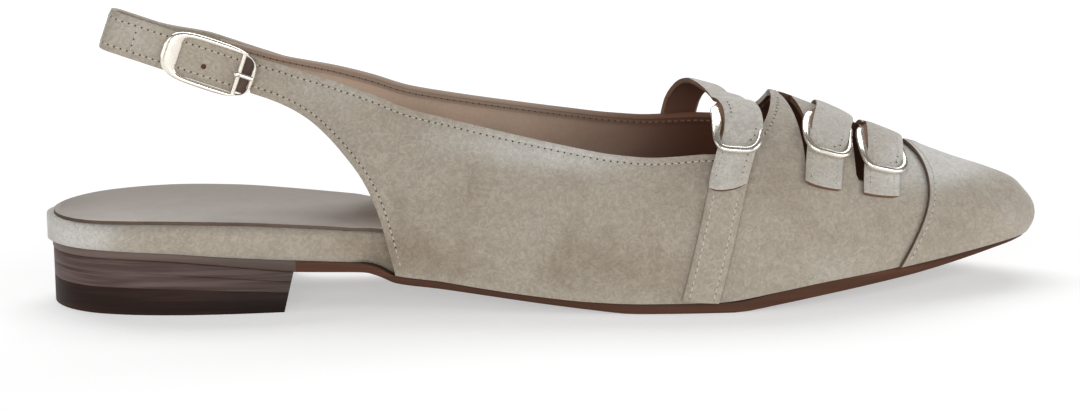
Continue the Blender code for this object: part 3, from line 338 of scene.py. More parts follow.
def smooth_outline(rows, side, round_start):
    """Half-width by station along a smooth plan curve with a rounded toe and, if asked, heel."""
    points = np.column_stack((rows["station"], rows[side]))
    chord = np.linalg.norm(np.diff(points, axis=0), axis=1)
    tangent = np.gradient(points, np.concatenate(([0.0], np.cumsum(chord))), axis=0)
    tangent[-1] = (0.0, -1.0)
    if round_start:
        tangent[0] = (0.0, 1.0)
    f = np.linspace(0.0, 1.0, 24, endpoint=False)[:, None]
    runs = []
    for i, length in enumerate(chord):
        start = (1 + 2 * f) * (1 - f) ** 2 * points[i] + f * (1 - f) ** 2 * length * tangent[i]
        end = f * f * (3 - 2 * f) * points[i + 1] - f * f * (1 - f) * length * tangent[i + 1]
        runs.append(start + end)
    curve = np.concatenate(runs + [points[-1:]])
    return lambda station: np.interp(station, curve[:, 0], curve[:, 1])


AHEAD = SOLE_OUTLINE["station"] > QUARTER_START
UPPER_OUTLINE = {key: np.concatenate((TAIL_OUTLINE[key], SOLE_OUTLINE[key][AHEAD])) for key in TAIL_OUTLINE}
sole_half = {side: smooth_outline(SOLE_OUTLINE, side, True) for side in SIDES}
upper_half = {side: smooth_outline(UPPER_OUTLINE, side, False) for side in SIDES}
last_at = {name: smooth_line(LAST, "station", name) for name in LAST if name != "station"}
top_line = {side: smooth_line(TOP_LINE, "station", side) for side in SIDES}
back_edge = smooth_line(BACK_EDGE, "station", "height")
sole_top = smooth_line(SOLE, "station", "top")
sole_bottom = smooth_line(SOLE, "station", "bottom")
insole_top = smooth_line(INSOLE, "station", "top")
slack_at = {edge: smooth_line(SLACK, "girth", edge) for edge in ("back", "front")}


def last_points(side, station, share):
    """Points of the last, 0 at the feather and 1 on the ridge: station, y and z in millimetres."""
    station, share = np.broadcast_arrays(np.asarray(station, float), np.asarray(share, float))
    middle = TIP_SIDE * ramp(station, THROAT_FRONT, UPPER_TIP)
    foot = SIDES[side] * upper_half[side](station)
    low, high = last_at["feather"](station), last_at["ridge"](station)
    flare = SIDES[side] * last_at["flare"](station)
    wall = low + last_at["wall"](station) * (high - low)
    crown = middle + last_at["crown"](station) * (foot - middle)
    u = 1.0 - share
    a, b, c, d = u ** 3, 3 * u * u * share, 3 * u * share * share, share ** 3
    y = a * foot + b * (foot + flare) + c * crown + d * middle
    z = a * low + b * wall + (c + d) * high
    rise = (z - low) / (high - low)
    swell = TOE_OVERHANG * ramp(station, TOE_OVERHANG_START, UPPER_TIP) * 4 * rise * (1 - rise)
    return np.stack((station + swell, y, z), axis=-1)


def last_normals(side, station, share):
    """Outward normals of the last, from short steps along it and up its section."""
    station, share = np.asarray(station), np.asarray(share)
    ahead = last_points(side, station + LAST_STEP, share) - last_points(side, station - LAST_STEP, share)
    higher, lower = np.minimum(share + SHARE_STEP, 1.0), np.maximum(share - SHARE_STEP, 0.0)
    up = last_points(side, station, higher) - last_points(side, station, lower)
    normal = SIDES[side] * np.cross(up, ahead)
    return normal / np.maximum(np.linalg.norm(normal, axis=-1, keepdims=True), 1e-9)


def share_at_height(side, station, height):
    """Where along a section, from 0 to 1, the last reaches a height."""
    station, height = np.broadcast_arrays(np.asarray(station, float), np.asarray(height, float))
    low, high = np.zeros(station.shape), np.ones(station.shape)
    for _ in range(30):
        middle = (low + high) / 2
        below = last_points(side, station, middle)[..., 2] < height
        low, high = np.where(below, middle, low), np.where(below, high, middle)
    return low


def half_at_height(side, station, height):
    """Outer half-width of the last at a height."""
    share = share_at_height(side, station, height)
    return SIDES[side] * last_points(side, station, share)[..., 1]


def girth_points(station, girth):
    """Points of the last at a distance from the ridge, measured round the section; lateral is negative."""
    station, girth = np.broadcast_arrays(np.asarray(station, float), np.asarray(girth, float))
    out = np.empty(station.shape + (3,))
    for side, sign in SIDES.items():
        here = (girth < 0) == (sign < 0)
        line = last_points(side, station[here][:, None], np.linspace(1.0, 0.0, 61))
        length = np.cumsum(np.linalg.norm(np.diff(line, axis=1), axis=2), axis=1)
        length = np.concatenate((np.zeros((len(line), 1)), length), axis=1)
        reach = np.abs(girth[here])[:, None]
        k = np.clip((length < reach).sum(axis=1) - 1, 0, 59)
        row = np.arange(len(line))
        share = (reach[:, 0] - length[row, k]) / (length[row, k + 1] - length[row, k])
        share = np.clip(share, 0.0, 1.0)[:, None]
        out[here] = line[row, k] * (1.0 - share) + line[row, k + 1] * share
    return out


def half_girth(side, station):
    """Length round one side of a section, from ridge to feather."""
    line = last_points(side, station, np.linspace(0.0, 1.0, 61))
    return float(np.linalg.norm(np.diff(line, axis=0), axis=1).sum())


def girth_normals(station, girth):
    """Outward normals of the last by station and girth."""
    along = girth_points(station + GIRTH_STEP, girth) - girth_points(station - GIRTH_STEP, girth)
    across = girth_points(station, girth + GIRTH_STEP) - girth_points(station, girth - GIRTH_STEP)
    normal = np.cross(along, across)
    return normal / np.linalg.norm(normal, axis=-1, keepdims=True)


def lifted(station, girth, lift):
    """Points at a height above the last, in millimetres."""
    return girth_points(station, girth) + np.asarray(lift)[..., None] * girth_normals(station, girth)


def world(points):
    """Millimetres from the heel back turned into metres in the shared frame."""
    return (np.asarray(points, float) - (LENGTH / 2, 0.0, 0.0)) * MM


def new_bmesh(*layers):
    bm = bmesh.new()
    for name in layers:
        bm.verts.layers.float.new(name)
    return bm


def add_sheet(bm, points, material=0, **values):
    """Add a grid laid through an array of points in millimetres, with named values at its points."""
    columns, rows = points.shape[0] - 1, points.shape[1] - 1
    placed = world(points)
    layers = {name: bm.verts.layers.float[name] for name in values}
    made = bmesh.ops.create_grid(bm, x_segments=columns, y_segments=rows, size=0.5)["verts"]
    for vert in made:
        i, j = round((vert.co.x + 0.5) * columns), round((vert.co.y + 0.5) * rows)
        vert.co = placed[i, j]
        for name, layer in layers.items():
            vert[layer] = values[name][i, j]
    for face in {face for vert in made for face in vert.link_faces}:
        face.material_index = material
    return made


def weld(bm, distance=0.02):
    bmesh.ops.remove_doubles(bm, verts=bm.verts, dist=distance * MM)
    bmesh.ops.dissolve_degenerate(bm, edges=bm.edges, dist=distance * MM / 4)
    bmesh.ops.recalc_face_normals(bm, faces=bm.faces)


def add_loft(bm, rings, closed=False, material=0):
    """Body through rings of points; its ends are filled unless it runs back to its first ring."""
    rings = np.concatenate((rings, rings[:1])) if closed else rings
    rings = np.concatenate((rings, rings[:, :1]), axis=1)
    part = bmesh.new()
    add_sheet(part, rings, material)
    bmesh.ops.remove_doubles(part, verts=part.verts, dist=0.01 * MM)
    bmesh.ops.dissolve_degenerate(part, edges=part.edges, dist=0.004 * MM)
    edges = [edge for edge in part.edges if edge.is_boundary]
    if edges:
        for face in bmesh.ops.holes_fill(part, edges=edges, sides=0)["faces"]:
            face.material_index = material
    bmesh.ops.recalc_face_normals(part, faces=part.faces)
    spare = bpy.data.meshes.new("spare")
    part.to_mesh(spare)
    part.free()
    bm.from_mesh(spare)
    bpy.data.meshes.remove(spare)


def add_piece(name, bm, materials, nodes=(), sharp=35.0, shade=0.0):
    """Turn a bmesh into a piece of the shoe that rides on its body and stands for its solids."""
    mesh = bpy.data.meshes.new(name)
    bm.to_mesh(mesh)
    bm.free()
    mesh.shade_smooth()
    mesh.set_sharp_from_angle(angle=math.radians(sharp))
    for material in materials:
        mesh.materials.append(material)
    brush_and_light_nap(mesh, shade)
    piece = bpy.data.objects.new(name, mesh)
    bpy.context.scene.collection.objects.link(piece)
    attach(piece, "root")
    if nodes:
        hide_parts(*nodes)
    return piece


def brush_and_light_nap(mesh, base):
    """Store at each point how dark or pale the nap lies, with the painted highlight and painted shade: a base
    for the piece and the table of listed areas.
    """
    count = len(mesh.vertices)
    co = np.zeros(count * 3)
    mesh.vertices.foreach_get("co", co)
    co = co.reshape(-1, 3) / MM + (LENGTH / 2, 0.0, 0.0)
    shade = np.full(count, base)
    for station, height, reach, rise, amount in zip(*BRUSHED_AND_LIT.values()):
        far = ((co[:, 0] - station) / reach) ** 2 + ((co[:, 2] - height) / rise) ** 2
        shade += amount * np.exp(-far)
    mesh.attributes.new("brushed_and_lit", "FLOAT", "POINT").data.foreach_set("value", shade.astype(np.float32))


def add_wall(piece, thickness, inner=0, rim=0, offset=-1.0, rounding=0.28):
    """Give a sheet its wall with rounded edges, inwards from the sheet."""
    wall = piece.modifiers.new("wall", "SOLIDIFY")
    wall.thickness = thickness
    wall.offset = offset
    wall.use_even_offset = True
    wall.use_quality_normals = True
    wall.material_offset = inner
    wall.material_offset_rim = rim
    edge = piece.modifiers.new("edge", "BEVEL")
    edge.material = rim
    edge.width = rounding * MM
    edge.segments = 2
    edge.limit_method = "ANGLE"
    edge.angle_limit = math.radians(50)
    return wall


def add_node(tree, kind, inputs=None, **settings):
    """Add a node with its settings; an input given as a socket is linked, any other is a value."""
    node = tree.nodes.new(kind)
    for name, value in settings.items():
        setattr(node, name, value)
    for name, value in (inputs or {}).items():
        if isinstance(value, bpy.types.NodeSocket):
            tree.links.new(value, node.inputs[name])
        else:
            node.inputs[name].default_value = value
    return node


def noise(tree, where, scale, detail=3.0, rough=0.55, warp=0.0):
    inputs = {"Vector": where, "Scale": scale, "Detail": detail, "Roughness": rough, "Distortion": warp}
    return add_node(tree, "ShaderNodeTexNoise", inputs).outputs["Fac"]


def math_node(tree, operation, a, b=0.0, clamp=False):
    return add_node(tree, "ShaderNodeMath", {0: a, 1: b}, operation=operation, use_clamp=clamp).outputs[0]


def spread(tree, value, low, high, to_low=0.0, to_high=1.0):
    inputs = {"Value": value, "From Min": low, "From Max": high, "To Min": to_low, "To Max": to_high}
    return add_node(tree, "ShaderNodeMapRange", inputs, interpolation_type="SMOOTHSTEP").outputs[0]


def mix(tree, factor, a, b, blend="MIX"):
    inputs = {0: factor, 6: a, 7: b}
    return add_node(tree, "ShaderNodeMix", inputs, data_type="RGBA", blend_type=blend).outputs[2]


def scaled(tree, colour, share):
    inputs = {0: colour, "Scale": share}
    return add_node(tree, "ShaderNodeVectorMath", inputs, operation="SCALE").outputs[0]


def object_coords(tree):
    return add_node(tree, "ShaderNodeTexCoord").outputs["Object"]


def solid(colour):
    return (*colour, 1.0)


def new_group(name, inputs, outputs):
    """Shader group with named sockets; returns its tree, input node and output node."""
    tree = bpy.data.node_groups.new(name, "ShaderNodeTree")
    for socket, kind in inputs.items():
        tree.interface.new_socket(socket, in_out="INPUT", socket_type=kind)
    for socket, kind in outputs.items():
        tree.interface.new_socket(socket, in_out="OUTPUT", socket_type=kind)
    return tree, tree.nodes.new("NodeGroupInput"), tree.nodes.new("NodeGroupOutput")


def nap_group():
    """Suede nap: clouds, patches, short curled strokes and fibres, darker or paler by the point values, which
    carry painted highlight and painted shade as well as the nap's own tone.
    """
    if "suede_nap" in bpy.data.node_groups:
        return bpy.data.node_groups["suede_nap"]
    colour, value = "NodeSocketColor", "NodeSocketFloat"
    tree, given, result = new_group(
        "suede_nap", {"Rest": colour, "Dark": colour, "Light": colour, "Brushed_and_lit": value},
        {"Color": colour, "Height": value})
    where = object_coords(tree)
    cloud = noise(tree, where, 44.0, 4.0, 0.6, 0.5)
    patch = noise(tree, where, 170.0, 3.0, 0.6, 1.2)
    stroke = noise(tree, where, 450.0, 3.0, 0.6, 2.4)
    fibre = noise(tree, where, 1500.0, 3.0, 0.65, 0.8)
    mottle = math_node(tree, "ADD", cloud, math_node(tree, "MULTIPLY", patch, 0.36))
    # Darker where the nap lies darker, and where shade is painted.
    shade = math_node(tree, "ADD", math_node(tree, "MULTIPLY", given.outputs["Brushed_and_lit"], 0.30), mottle)
    # Paler where the nap lies paler, and where highlight is painted.
    pale_and_lit = math_node(tree, "MULTIPLY", given.outputs["Brushed_and_lit"], -0.55)
    pale_and_lit = math_node(tree, "ADD", pale_and_lit, 0.25)
    pale_and_lit = math_node(tree, "SUBTRACT", pale_and_lit, math_node(tree, "MULTIPLY", mottle, 0.35))
    dark = spread(tree, shade, 0.64, 1.14)
    light = spread(tree, pale_and_lit, 0.05, 0.75)
    tone = mix(tree, dark, given.outputs["Rest"], given.outputs["Dark"])
    tone = mix(tree, light, tone, given.outputs["Light"])
    speck = math_node(tree, "MULTIPLY", spread(tree, fibre, 0.30, 0.72, 0.95, 1.05),
                      spread(tree, stroke, 0.32, 0.70, 0.87, 1.12))
    tree.links.new(scaled(tree, tone, speck), result.inputs["Color"])
    height = math_node(tree, "MULTIPLY_ADD", stroke, 0.5)
    tree.links.new(fibre, height.node.inputs[2])
    tree.links.new(height, result.inputs["Height"])
    return tree


def grain_group():
    """Smooth leather: fine pebble, slow change of tone and of gloss."""
    if "leather_grain" in bpy.data.node_groups:
        return bpy.data.node_groups["leather_grain"]
    colour, value = "NodeSocketColor", "NodeSocketFloat"
    tree, given, result = new_group(
        "leather_grain", {"Tone": colour, "Deep": colour, "Pebble": value, "Gloss": value},
        {"Color": colour, "Roughness": value, "Height": value})
    where = object_coords(tree)
    cloud = noise(tree, where, 60.0, 4.0, 0.6, 0.3)
    pebble = add_node(tree, "ShaderNodeTexVoronoi", {"Vector": where, "Scale": given.outputs["Pebble"]},
                      feature="SMOOTH_F1").outputs["Distance"]
    fine = noise(tree, where, 1500.0, 2.0)
    tone = mix(tree, spread(tree, cloud, 0.35, 0.75), given.outputs["Tone"], given.outputs["Deep"])
    tree.links.new(mix(tree, 0.12, tone, fine, "OVERLAY"), result.inputs["Color"])
    rough = math_node(tree, "MULTIPLY_ADD", cloud, 0.2)
    tree.links.new(given.outputs["Gloss"], rough.node.inputs[2])
    tree.links.new(rough, result.inputs["Roughness"])
    height = math_node(tree, "ADD", pebble, math_node(tree, "MULTIPLY", fine, 0.4))
    tree.links.new(height, result.inputs["Height"])
    return tree


def streak_group():
    """Stacked or cut leather: thin level lines that wander and break."""
    if "layer_streaks" in bpy.data.node_groups:
        return bpy.data.node_groups["layer_streaks"]
    colour, value = "NodeSocketColor", "NodeSocketFloat"
    tree, given, result = new_group(
        "layer_streaks", {"Tone": colour, "Line": colour, "Amount": value},
        {"Color": colour, "Height": value})
    where = object_coords(tree)
    level = add_node(tree, "ShaderNodeMapping", {"Vector": where, "Scale": (24.0, 24.0, 620.0)}).outputs[0]
    thin = noise(tree, level, 1.0, 3.0, 0.6, 0.35)
    level = add_node(tree, "ShaderNodeMapping", {"Vector": where, "Scale": (9.0, 9.0, 190.0)}).outputs[0]
    broad = noise(tree, level, 1.0, 2.0, 0.5, 0.5)
    mask = spread(tree, math_node(tree, "ADD", thin, math_node(tree, "MULTIPLY", broad, 0.8)), 0.82, 1.14)
    mask = math_node(tree, "MULTIPLY", mask, given.outputs["Amount"])
    tree.links.new(mix(tree, mask, given.outputs["Tone"], given.outputs["Line"]), result.inputs["Color"])
    tree.links.new(thin, result.inputs["Height"])
    return tree


def new_material(name, **constants):
    """Material with a Principled shader; constants go on the shader's own sockets."""
    material = bpy.data.materials.new(name)
    material.use_nodes = True
    tree = material.node_tree
    shader = tree.nodes["Principled BSDF"]
    for socket, value in constants.items():
        shader.inputs[socket.replace("_", " ")].default_value = value
    return material, tree, shader


def bump(tree, shader, height, strength, distance):
    inputs = {"Height": height, "Strength": strength, "Distance": distance * MM}
    node = add_node(tree, "ShaderNodeBump", inputs)
    tree.links.new(node.outputs[0], shader.inputs["Normal"])


def suede_material(colours):
    if "beige_suede" in bpy.data.materials:
        return bpy.data.materials["beige_suede"]
    material, tree, shader = new_material(
        "beige_suede", Roughness=0.95, Specular_IOR_Level=0.12, Sheen_Weight=0.5, Sheen_Roughness=0.4,
        Sheen_Tint=(1.0, 0.99, 0.98, 1.0))
    # Point values of the nap, with painted highlight and painted shade.
    brushed_and_lit = add_node(tree, "ShaderNodeAttribute", attribute_name="brushed_and_lit").outputs["Fac"]
    nap = add_node(tree, "ShaderNodeGroup", node_tree=nap_group())
    nap.inputs["Rest"].default_value = solid(colours.suede)
    nap.inputs["Dark"].default_value = solid(colours.suede_dark_and_shade)
    nap.inputs["Light"].default_value = solid(colours.suede_pale_and_highlight)
    tree.links.new(brushed_and_lit, nap.inputs["Brushed_and_lit"])
    tree.links.new(nap.outputs["Color"], shader.inputs["Base Color"])
    bump(tree, shader, nap.outputs["Height"], 0.55, 0.5)
    return material


def grain_material(name, tone, deep, pebble, gloss, strength, **constants):
    material, tree, shader = new_material(name, **constants)
    grain = add_node(tree, "ShaderNodeGroup", node_tree=grain_group())
    for socket, value in (("Tone", solid(tone)), ("Deep", solid(deep)), ("Pebble", pebble), ("Gloss", gloss)):
        grain.inputs[socket].default_value = value
    tree.links.new(grain.outputs["Color"], shader.inputs["Base Color"])
    tree.links.new(grain.outputs["Roughness"], shader.inputs["Roughness"])
    bump(tree, shader, grain.outputs["Height"], strength, 0.3)
    return material, tree, shader, grain


def deeper(colour, share):
    return tuple(channel * share for channel in colour)


def lining_material(colours):
    """Brown lining with the turned-in band along its top edge, and painted shade that deepens it towards the
    toe.
    """
    if "brown_lining" in bpy.data.materials:
        return bpy.data.materials["brown_lining"]
    material, tree, shader, grain = grain_material(
        "brown_lining", colours.lining, deeper(colours.lining, 0.85), 900.0, 0.5, 0.12,
        Specular_IOR_Level=0.25)
    where = object_coords(tree)
    along = add_node(tree, "ShaderNodeSeparateXYZ", {0: where}).outputs["X"]
    edge = add_node(tree, "ShaderNodeAttribute", attribute_name="edge").outputs["Fac"]
    tone = mix(tree, spread(tree, edge, 2.5, 1.9), grain.outputs["Color"], solid(colours.lining_band))
    # Painted shade: the lining darkens towards the toe, inside the shoe's front.
    tone = mix(tree, spread(tree, along, -0.01, 0.045), tone, solid(colours.lining_toe_shade))
    tree.links.new(tone, shader.inputs["Base Color"])
    return material


def sock_material(colours):
    if "taupe_sock" in bpy.data.materials:
        return bpy.data.materials["taupe_sock"]
    return grain_material("taupe_sock", colours.sock, deeper(colours.sock, 0.85), 1100.0, 0.36, 0.10,
                          Specular_IOR_Level=0.45)[0]


def raw_edge_material(colours):
    if "raw_edge" in bpy.data.materials:
        return bpy.data.materials["raw_edge"]
    return grain_material("raw_edge", colours.raw_edge, deeper(colours.raw_edge, 0.6), 1400.0, 0.6, 0.5,
                          Specular_IOR_Level=0.2)[0]


def lined_suede(colours):
    """Materials of a lined piece: its suede, its lining and its cut edge."""
    return [suede_material(colours), lining_material(colours), raw_edge_material(colours)]


def dark_edge_material(colours):
    """Cut edge of the sock and the toe cap, stained dark."""
    if "dark_edge" in bpy.data.materials:
        return bpy.data.materials["dark_edge"]
    return grain_material("dark_edge", colours.dark_edge, deeper(colours.dark_edge, 0.6), 1400.0, 0.6, 0.5,
                          Specular_IOR_Level=0.2)[0]


def streak_material(name, tone, line, amount, breast_shade=1.0, **constants):
    """Layered leather; where asked, painted shade darkens it to a share of its tone from the heel's back to
    its breast.
    """
    if name in bpy.data.materials:
        return bpy.data.materials[name]
    material, tree, shader = new_material(name, **constants)
    streaks = add_node(tree, "ShaderNodeGroup", node_tree=streak_group())
    streaks.inputs["Tone"].default_value = solid(tone)
    streaks.inputs["Line"].default_value = solid(line)
    streaks.inputs["Amount"].default_value = amount
    where = object_coords(tree)
    along = add_node(tree, "ShaderNodeSeparateXYZ", {0: where}).outputs["X"]
    start, end = (world((station, 0.0, 0.0))[0] for station in (HEEL_SHADE_START, HEEL_BREAST))
    share = spread(tree, along, start, end, 1.0, breast_shade)
    faded = scaled(tree, streaks.outputs["Color"], share)
    tree.links.new(faded, shader.inputs["Base Color"])
    bump(tree, shader, streaks.outputs["Height"], 0.35, 0.25)
    return material


def metal_material(colours):
    """Polished plate with faint smudges."""
    if "pale_gold" in bpy.data.materials:
        return bpy.data.materials["pale_gold"]
    material, tree, shader = new_material("pale_gold", Metallic=0.82)
    where = object_coords(tree)
    smudge = noise(tree, where, 420.0, 3.0)
    tree.links.new(spread(tree, smudge, 0.3, 0.75, 0.16, 0.3), shader.inputs["Roughness"])
    tone = mix(tree, spread(tree, smudge, 0.4, 0.8), solid(colours.metal), solid(deeper(colours.metal, 0.93)))
    tree.links.new(tone, shader.inputs["Base Color"])
    return material


def thread_material(name, colour):
    if name in bpy.data.materials:
        return bpy.data.materials[name]
    material, tree, shader = new_material(name, Roughness=0.75, Sheen_Weight=0.2)
    where = object_coords(tree)
    twist = noise(tree, where, 2600.0, 1.0)
    tone = mix(tree, twist, solid(deeper(colour, 0.85)), solid(colour))
    tree.links.new(tone, shader.inputs["Base Color"])
    bump(tree, shader, twist, 0.4, 0.1)
    return material


def hole_material(colours):
    """Shaded inside of a needle hole."""
    if "needle_hole" in bpy.data.materials:
        return bpy.data.materials["needle_hole"]
    material, tree, shader = new_material("needle_hole", Roughness=1.0, Specular_IOR_Level=0.0)
    where = object_coords(tree)
    tone = mix(tree, noise(tree, where, 900.0), solid(deeper(colours.raw_edge, 0.25)),
               solid(deeper(colours.raw_edge, 0.6)))
    tree.links.new(tone, shader.inputs["Base Color"])
    return material


def end_crowded(start, end, count):
    """Stations that crowd towards both ends, where an outline turns."""
    return start + (end - start) * (1 - np.cos(np.linspace(0.0, math.pi, count + 1))) / 2


def drawn_in(half_at, station, inset):
    """Half-width of an outline drawn in by an inset, at its round heel back as well as its sides."""
    sideways = ramp(station, 0.0, HEEL_TURN)
    return half_at(station - inset * (1.0 - sideways)) - inset * sideways


def edge_rings(stations, half_of, low, high, profile, turned=1.0):
    """Rings of a flat body whose side follows a profile of (share of height, pull inwards)."""
    share, pull = np.array(profile).T
    pull = pull[None, :] * np.broadcast_to(turned, stations.shape)[:, None]
    height = low[:, None] + share[None, :] * (high - low)[:, None]
    run = []
    for side, sign in SIDES.items():
        y = sign * (half_of(side, stations)[:, None] - pull)
        points = np.stack((np.broadcast_to(stations[:, None], y.shape), y, height), axis=-1)
        run.append(points if sign < 0 else points[:, ::-1])
    return np.concatenate(run, axis=1)


def make_sole(scene):
    """Outsole with a waxed, slightly rounded edge."""
    colours = scene.shoe_colours
    stations = np.unique(np.concatenate((
        end_crowded(SEAT_INSET, UPPER_TIP - SOLE_INSET / 2, 110), np.linspace(80.0, 96.0, 17))))

    def half_of(side, station):
        inset = SEAT_INSET + (SOLE_INSET - SEAT_INSET) * ramp(station, HEEL_BREAST, QUARTER_START)
        return drawn_in(sole_half[side], station, inset * ramp(UPPER_TIP - station, 0.0, TIP_FADE))

    profile = ((0.0, 0.55), (0.10, 0.22), (0.3, 0.04), (0.6, 0.0), (0.9, 0.06), (1.0, 0.2))
    bm = new_bmesh()
    add_loft(bm, edge_rings(stations, half_of, sole_bottom(stations), sole_top(stations) + GAP / 2, profile))
    breast = world((HEEL_BREAST + BREAST_LEAN, 0.0, 0.0))[0]
    for face in bm.faces:
        face.material_index = 1 if face.calc_center_median().x < breast else 0
    # Darker than the seat: waxed edge and painted shade.
    edge = streak_material("waxed_and_shaded_sole_edge", colours.sole, deeper(colours.sole, 1.8), 0.5, Roughness=0.6,
                           Specular_IOR_Level=0.15)
    # Painted shade: the seat edge darkens towards the heel's breast.
    seat = streak_material("seat_edge", colours.seat, colours.heel_light, 0.5, 0.62, Roughness=0.5,
                           Specular_IOR_Level=0.3)
    add_piece("outsole_dressed", bm, [edge, seat], ["outsole"])


def make_heel(scene):
    """Stacked heel: two leather lifts and the rubber top piece."""
    colours = scene.shoe_colours
    # Painted shade: the stack and the top piece darken towards the heel's breast.
    stack = streak_material("stacked_heel", colours.heel, colours.heel_light, 0.8, 0.6, Roughness=0.5,
                            Specular_IOR_Level=0.18)
    rubber = streak_material("top_piece_rubber", colours.top_piece, colours.top_piece_worn, 0.6, 0.55,
                             Roughness=0.55, Specular_IOR_Level=0.15)
    stations = HEEL_INSET + (HEEL_BREAST - HEEL_INSET) * np.linspace(0.0, 1.0, 49) ** 1.8
    for name, (low_share, high_share) in HEEL_LIFTS.items():
        rings = []
        for station in stations:
            ring = {side: [] for side in SIDES}
            for side, sign in SIDES.items():
                for share, pull in ((0.0, 0.22), (0.06, 0.05), (0.5, 0.0), (0.94, 0.05), (1.0, 0.22)):
                    level = low_share + share * (high_share - low_share)
                    leant = station + BREAST_LEAN * level * ramp(station, BREAST_LEAN_START, HEEL_BREAST)
                    height = level * sole_bottom(leant)
                    half = drawn_in(sole_half[side], station, HEEL_INSET)
                    ring[side].append((leant, sign * max(half - pull, 0.0), height))
            rings.append(ring["lateral"] + ring["medial"][::-1])
        bm = new_bmesh()
        add_loft(bm, np.array(rings))
        material = stack if low_share > 0.0 else rubber
        add_piece(f"{name}_dressed", bm, [material], [name])


def footbed_half(side, station, low, high, upper_wall):
    """Half-width of the footbed: the sole's outline behind, the upper's inner wall ahead."""
    hidden = ramp(station, RAND_HIDDEN_FROM, RAND_HIDDEN_BY)
    half = sole_half[side](station)
    room = np.minimum(half_at_height(side, station, low), half_at_height(side, station, high))
    room = np.where(station < QUARTER_START, np.minimum(room, half), room)
    return half + hidden * (room - upper_wall - 2 * GAP - half)


def make_footbed(scene):
    """Suede-wrapped footbed and the leather sock on it."""
    sizes, colours = scene.shoe_sizes, scene.shoe_colours
    upper_wall, sock_wall = sizes.upper_wall / MM, sizes.sock_wall / MM
    bend = np.linspace(80.0, 94.0, 15)
    stations = np.unique(np.concatenate((end_crowded(0.0, INSOLE_TIP, 90), bend)))
    low, high = sole_top(stations) + GAP / 2, insole_top(stations) - sock_wall - GAP / 2

    def board_half(side, at):
        return footbed_half(side, at, low, high, upper_wall)

    rounding = ((0.0, 1.5), (0.06, 0.75), (0.16, 0.25), (0.33, 0.03), (0.5, 0.0), (0.7, 0.06), (0.84, 0.38),
                (0.94, 1.0), (1.0, 1.9))
    width = board_half("lateral", stations) + board_half("medial", stations)
    turned = ramp(width, 0.0, 24.0) * (1 - 0.6 * ramp(stations, RAND_HIDDEN_FROM, RAND_HIDDEN_BY))
    bm = new_bmesh()
    add_loft(bm, edge_rings(stations, board_half, low, high, rounding, turned))
    add_piece("footbed_wrapped", bm, [suede_material(colours)], ["footbed"], sharp=60.0)
    stations = np.unique(np.concatenate((end_crowded(SOCK_INSET, INSOLE_TIP - SOCK_INSET, 90), bend)))
    low, high = insole_top(stations) - sock_wall, insole_top(stations)

    def sock_half(side, at):
        inset = SOCK_INSET * (1 - 0.7 * ramp(at, RAND_HIDDEN_FROM, RAND_HIDDEN_BY))
        return drawn_in(lambda near: footbed_half(side, near, low, high, upper_wall), at, inset)

    bm = new_bmesh()
    profile = ((0.0, 0.0), (0.7, 0.0), (0.92, 0.1), (1.0, 0.35))
    add_loft(bm, edge_rings(stations, sock_half, low, high, profile))
    bm.normal_update()
    for face in bm.faces:
        face.material_index = 0 if face.normal.z > 0.6 else 1
    materials = [sock_material(colours), dark_edge_material(colours)]
    add_piece("sock_leather_dressed", bm, materials, ["insole_sock"])


EDGE_ROWS = np.array([0.0, 0.4, 0.9, 1.4, 1.9, 2.4, 3.1, 4.2])
MIDDLE_ROWS, LEAST_COLUMN = 18, 0.6


def upper_columns(side):
    """Foot and top of each column of the upper, by station and share, and how many tops lie on an edge."""
    stations = np.linspace(TAIL_END[side], QUARTER_START, 400)
    run = np.concatenate(([0.0], np.cumsum(np.hypot(np.diff(stations), np.diff(back_edge(stations))))))
    tail = np.interp(np.linspace(0.0, run[-1], 35), run, stations)
    quarter = np.linspace(QUARTER_START, THROAT_SIDE, 45)[1:]
    turn = np.linspace(0.0, math.pi / 2, 23)[1:]
    reach = THROAT_FRONT - THROAT_SIDE
    throat = THROAT_SIDE + reach * np.linspace(0.0, 1.0, 23)[1:]
    vamp = UPPER_TIP - (UPPER_TIP - THROAT_FRONT) * (1 - np.linspace(0.0, 1.0, 45)[1:]) ** TIP_CROWDING
    ahead = vamp[vamp > THROAT_FRONT + EDGE_ROWS[-1] + LEAST_COLUMN]
    vamp = np.unique(np.concatenate((THROAT_FRONT + EDGE_ROWS[1:], ahead)))
    start = share_at_height(side, THROAT_SIDE, top_line[side](THROAT_SIDE))
    behind = np.concatenate((tail, quarter))
    foot = np.concatenate((behind, throat, vamp))
    foot_share = np.where(foot < QUARTER_START - 1e-6, share_at_height(side, foot, back_edge(foot)), 0.0)
    top = np.concatenate((behind, THROAT_SIDE + reach * np.sin(turn) ** THROAT_SQUARE[side], vamp))
    top_share = np.concatenate((
        share_at_height(side, behind, top_line[side](behind)),
        start + (1.0 - start) * (1 - np.cos(turn) ** THROAT_SQUARE[side]), np.ones(len(vamp))))
    return foot, foot_share, top, top_share, len(behind) + len(throat)


def edge_distance(points, line):
    """Distance of each point of a grid from a line."""
    run = np.concatenate(([0.0], np.cumsum(np.linalg.norm(np.diff(line, axis=0), axis=1))))
    stops = np.linspace(0.0, run[-1], 2000)
    dense = np.column_stack([np.interp(stops, run, line[:, axis]) for axis in range(3)])
    return np.array([np.linalg.norm(column[:, None] - dense[None], axis=2).min(axis=1) for column in points])


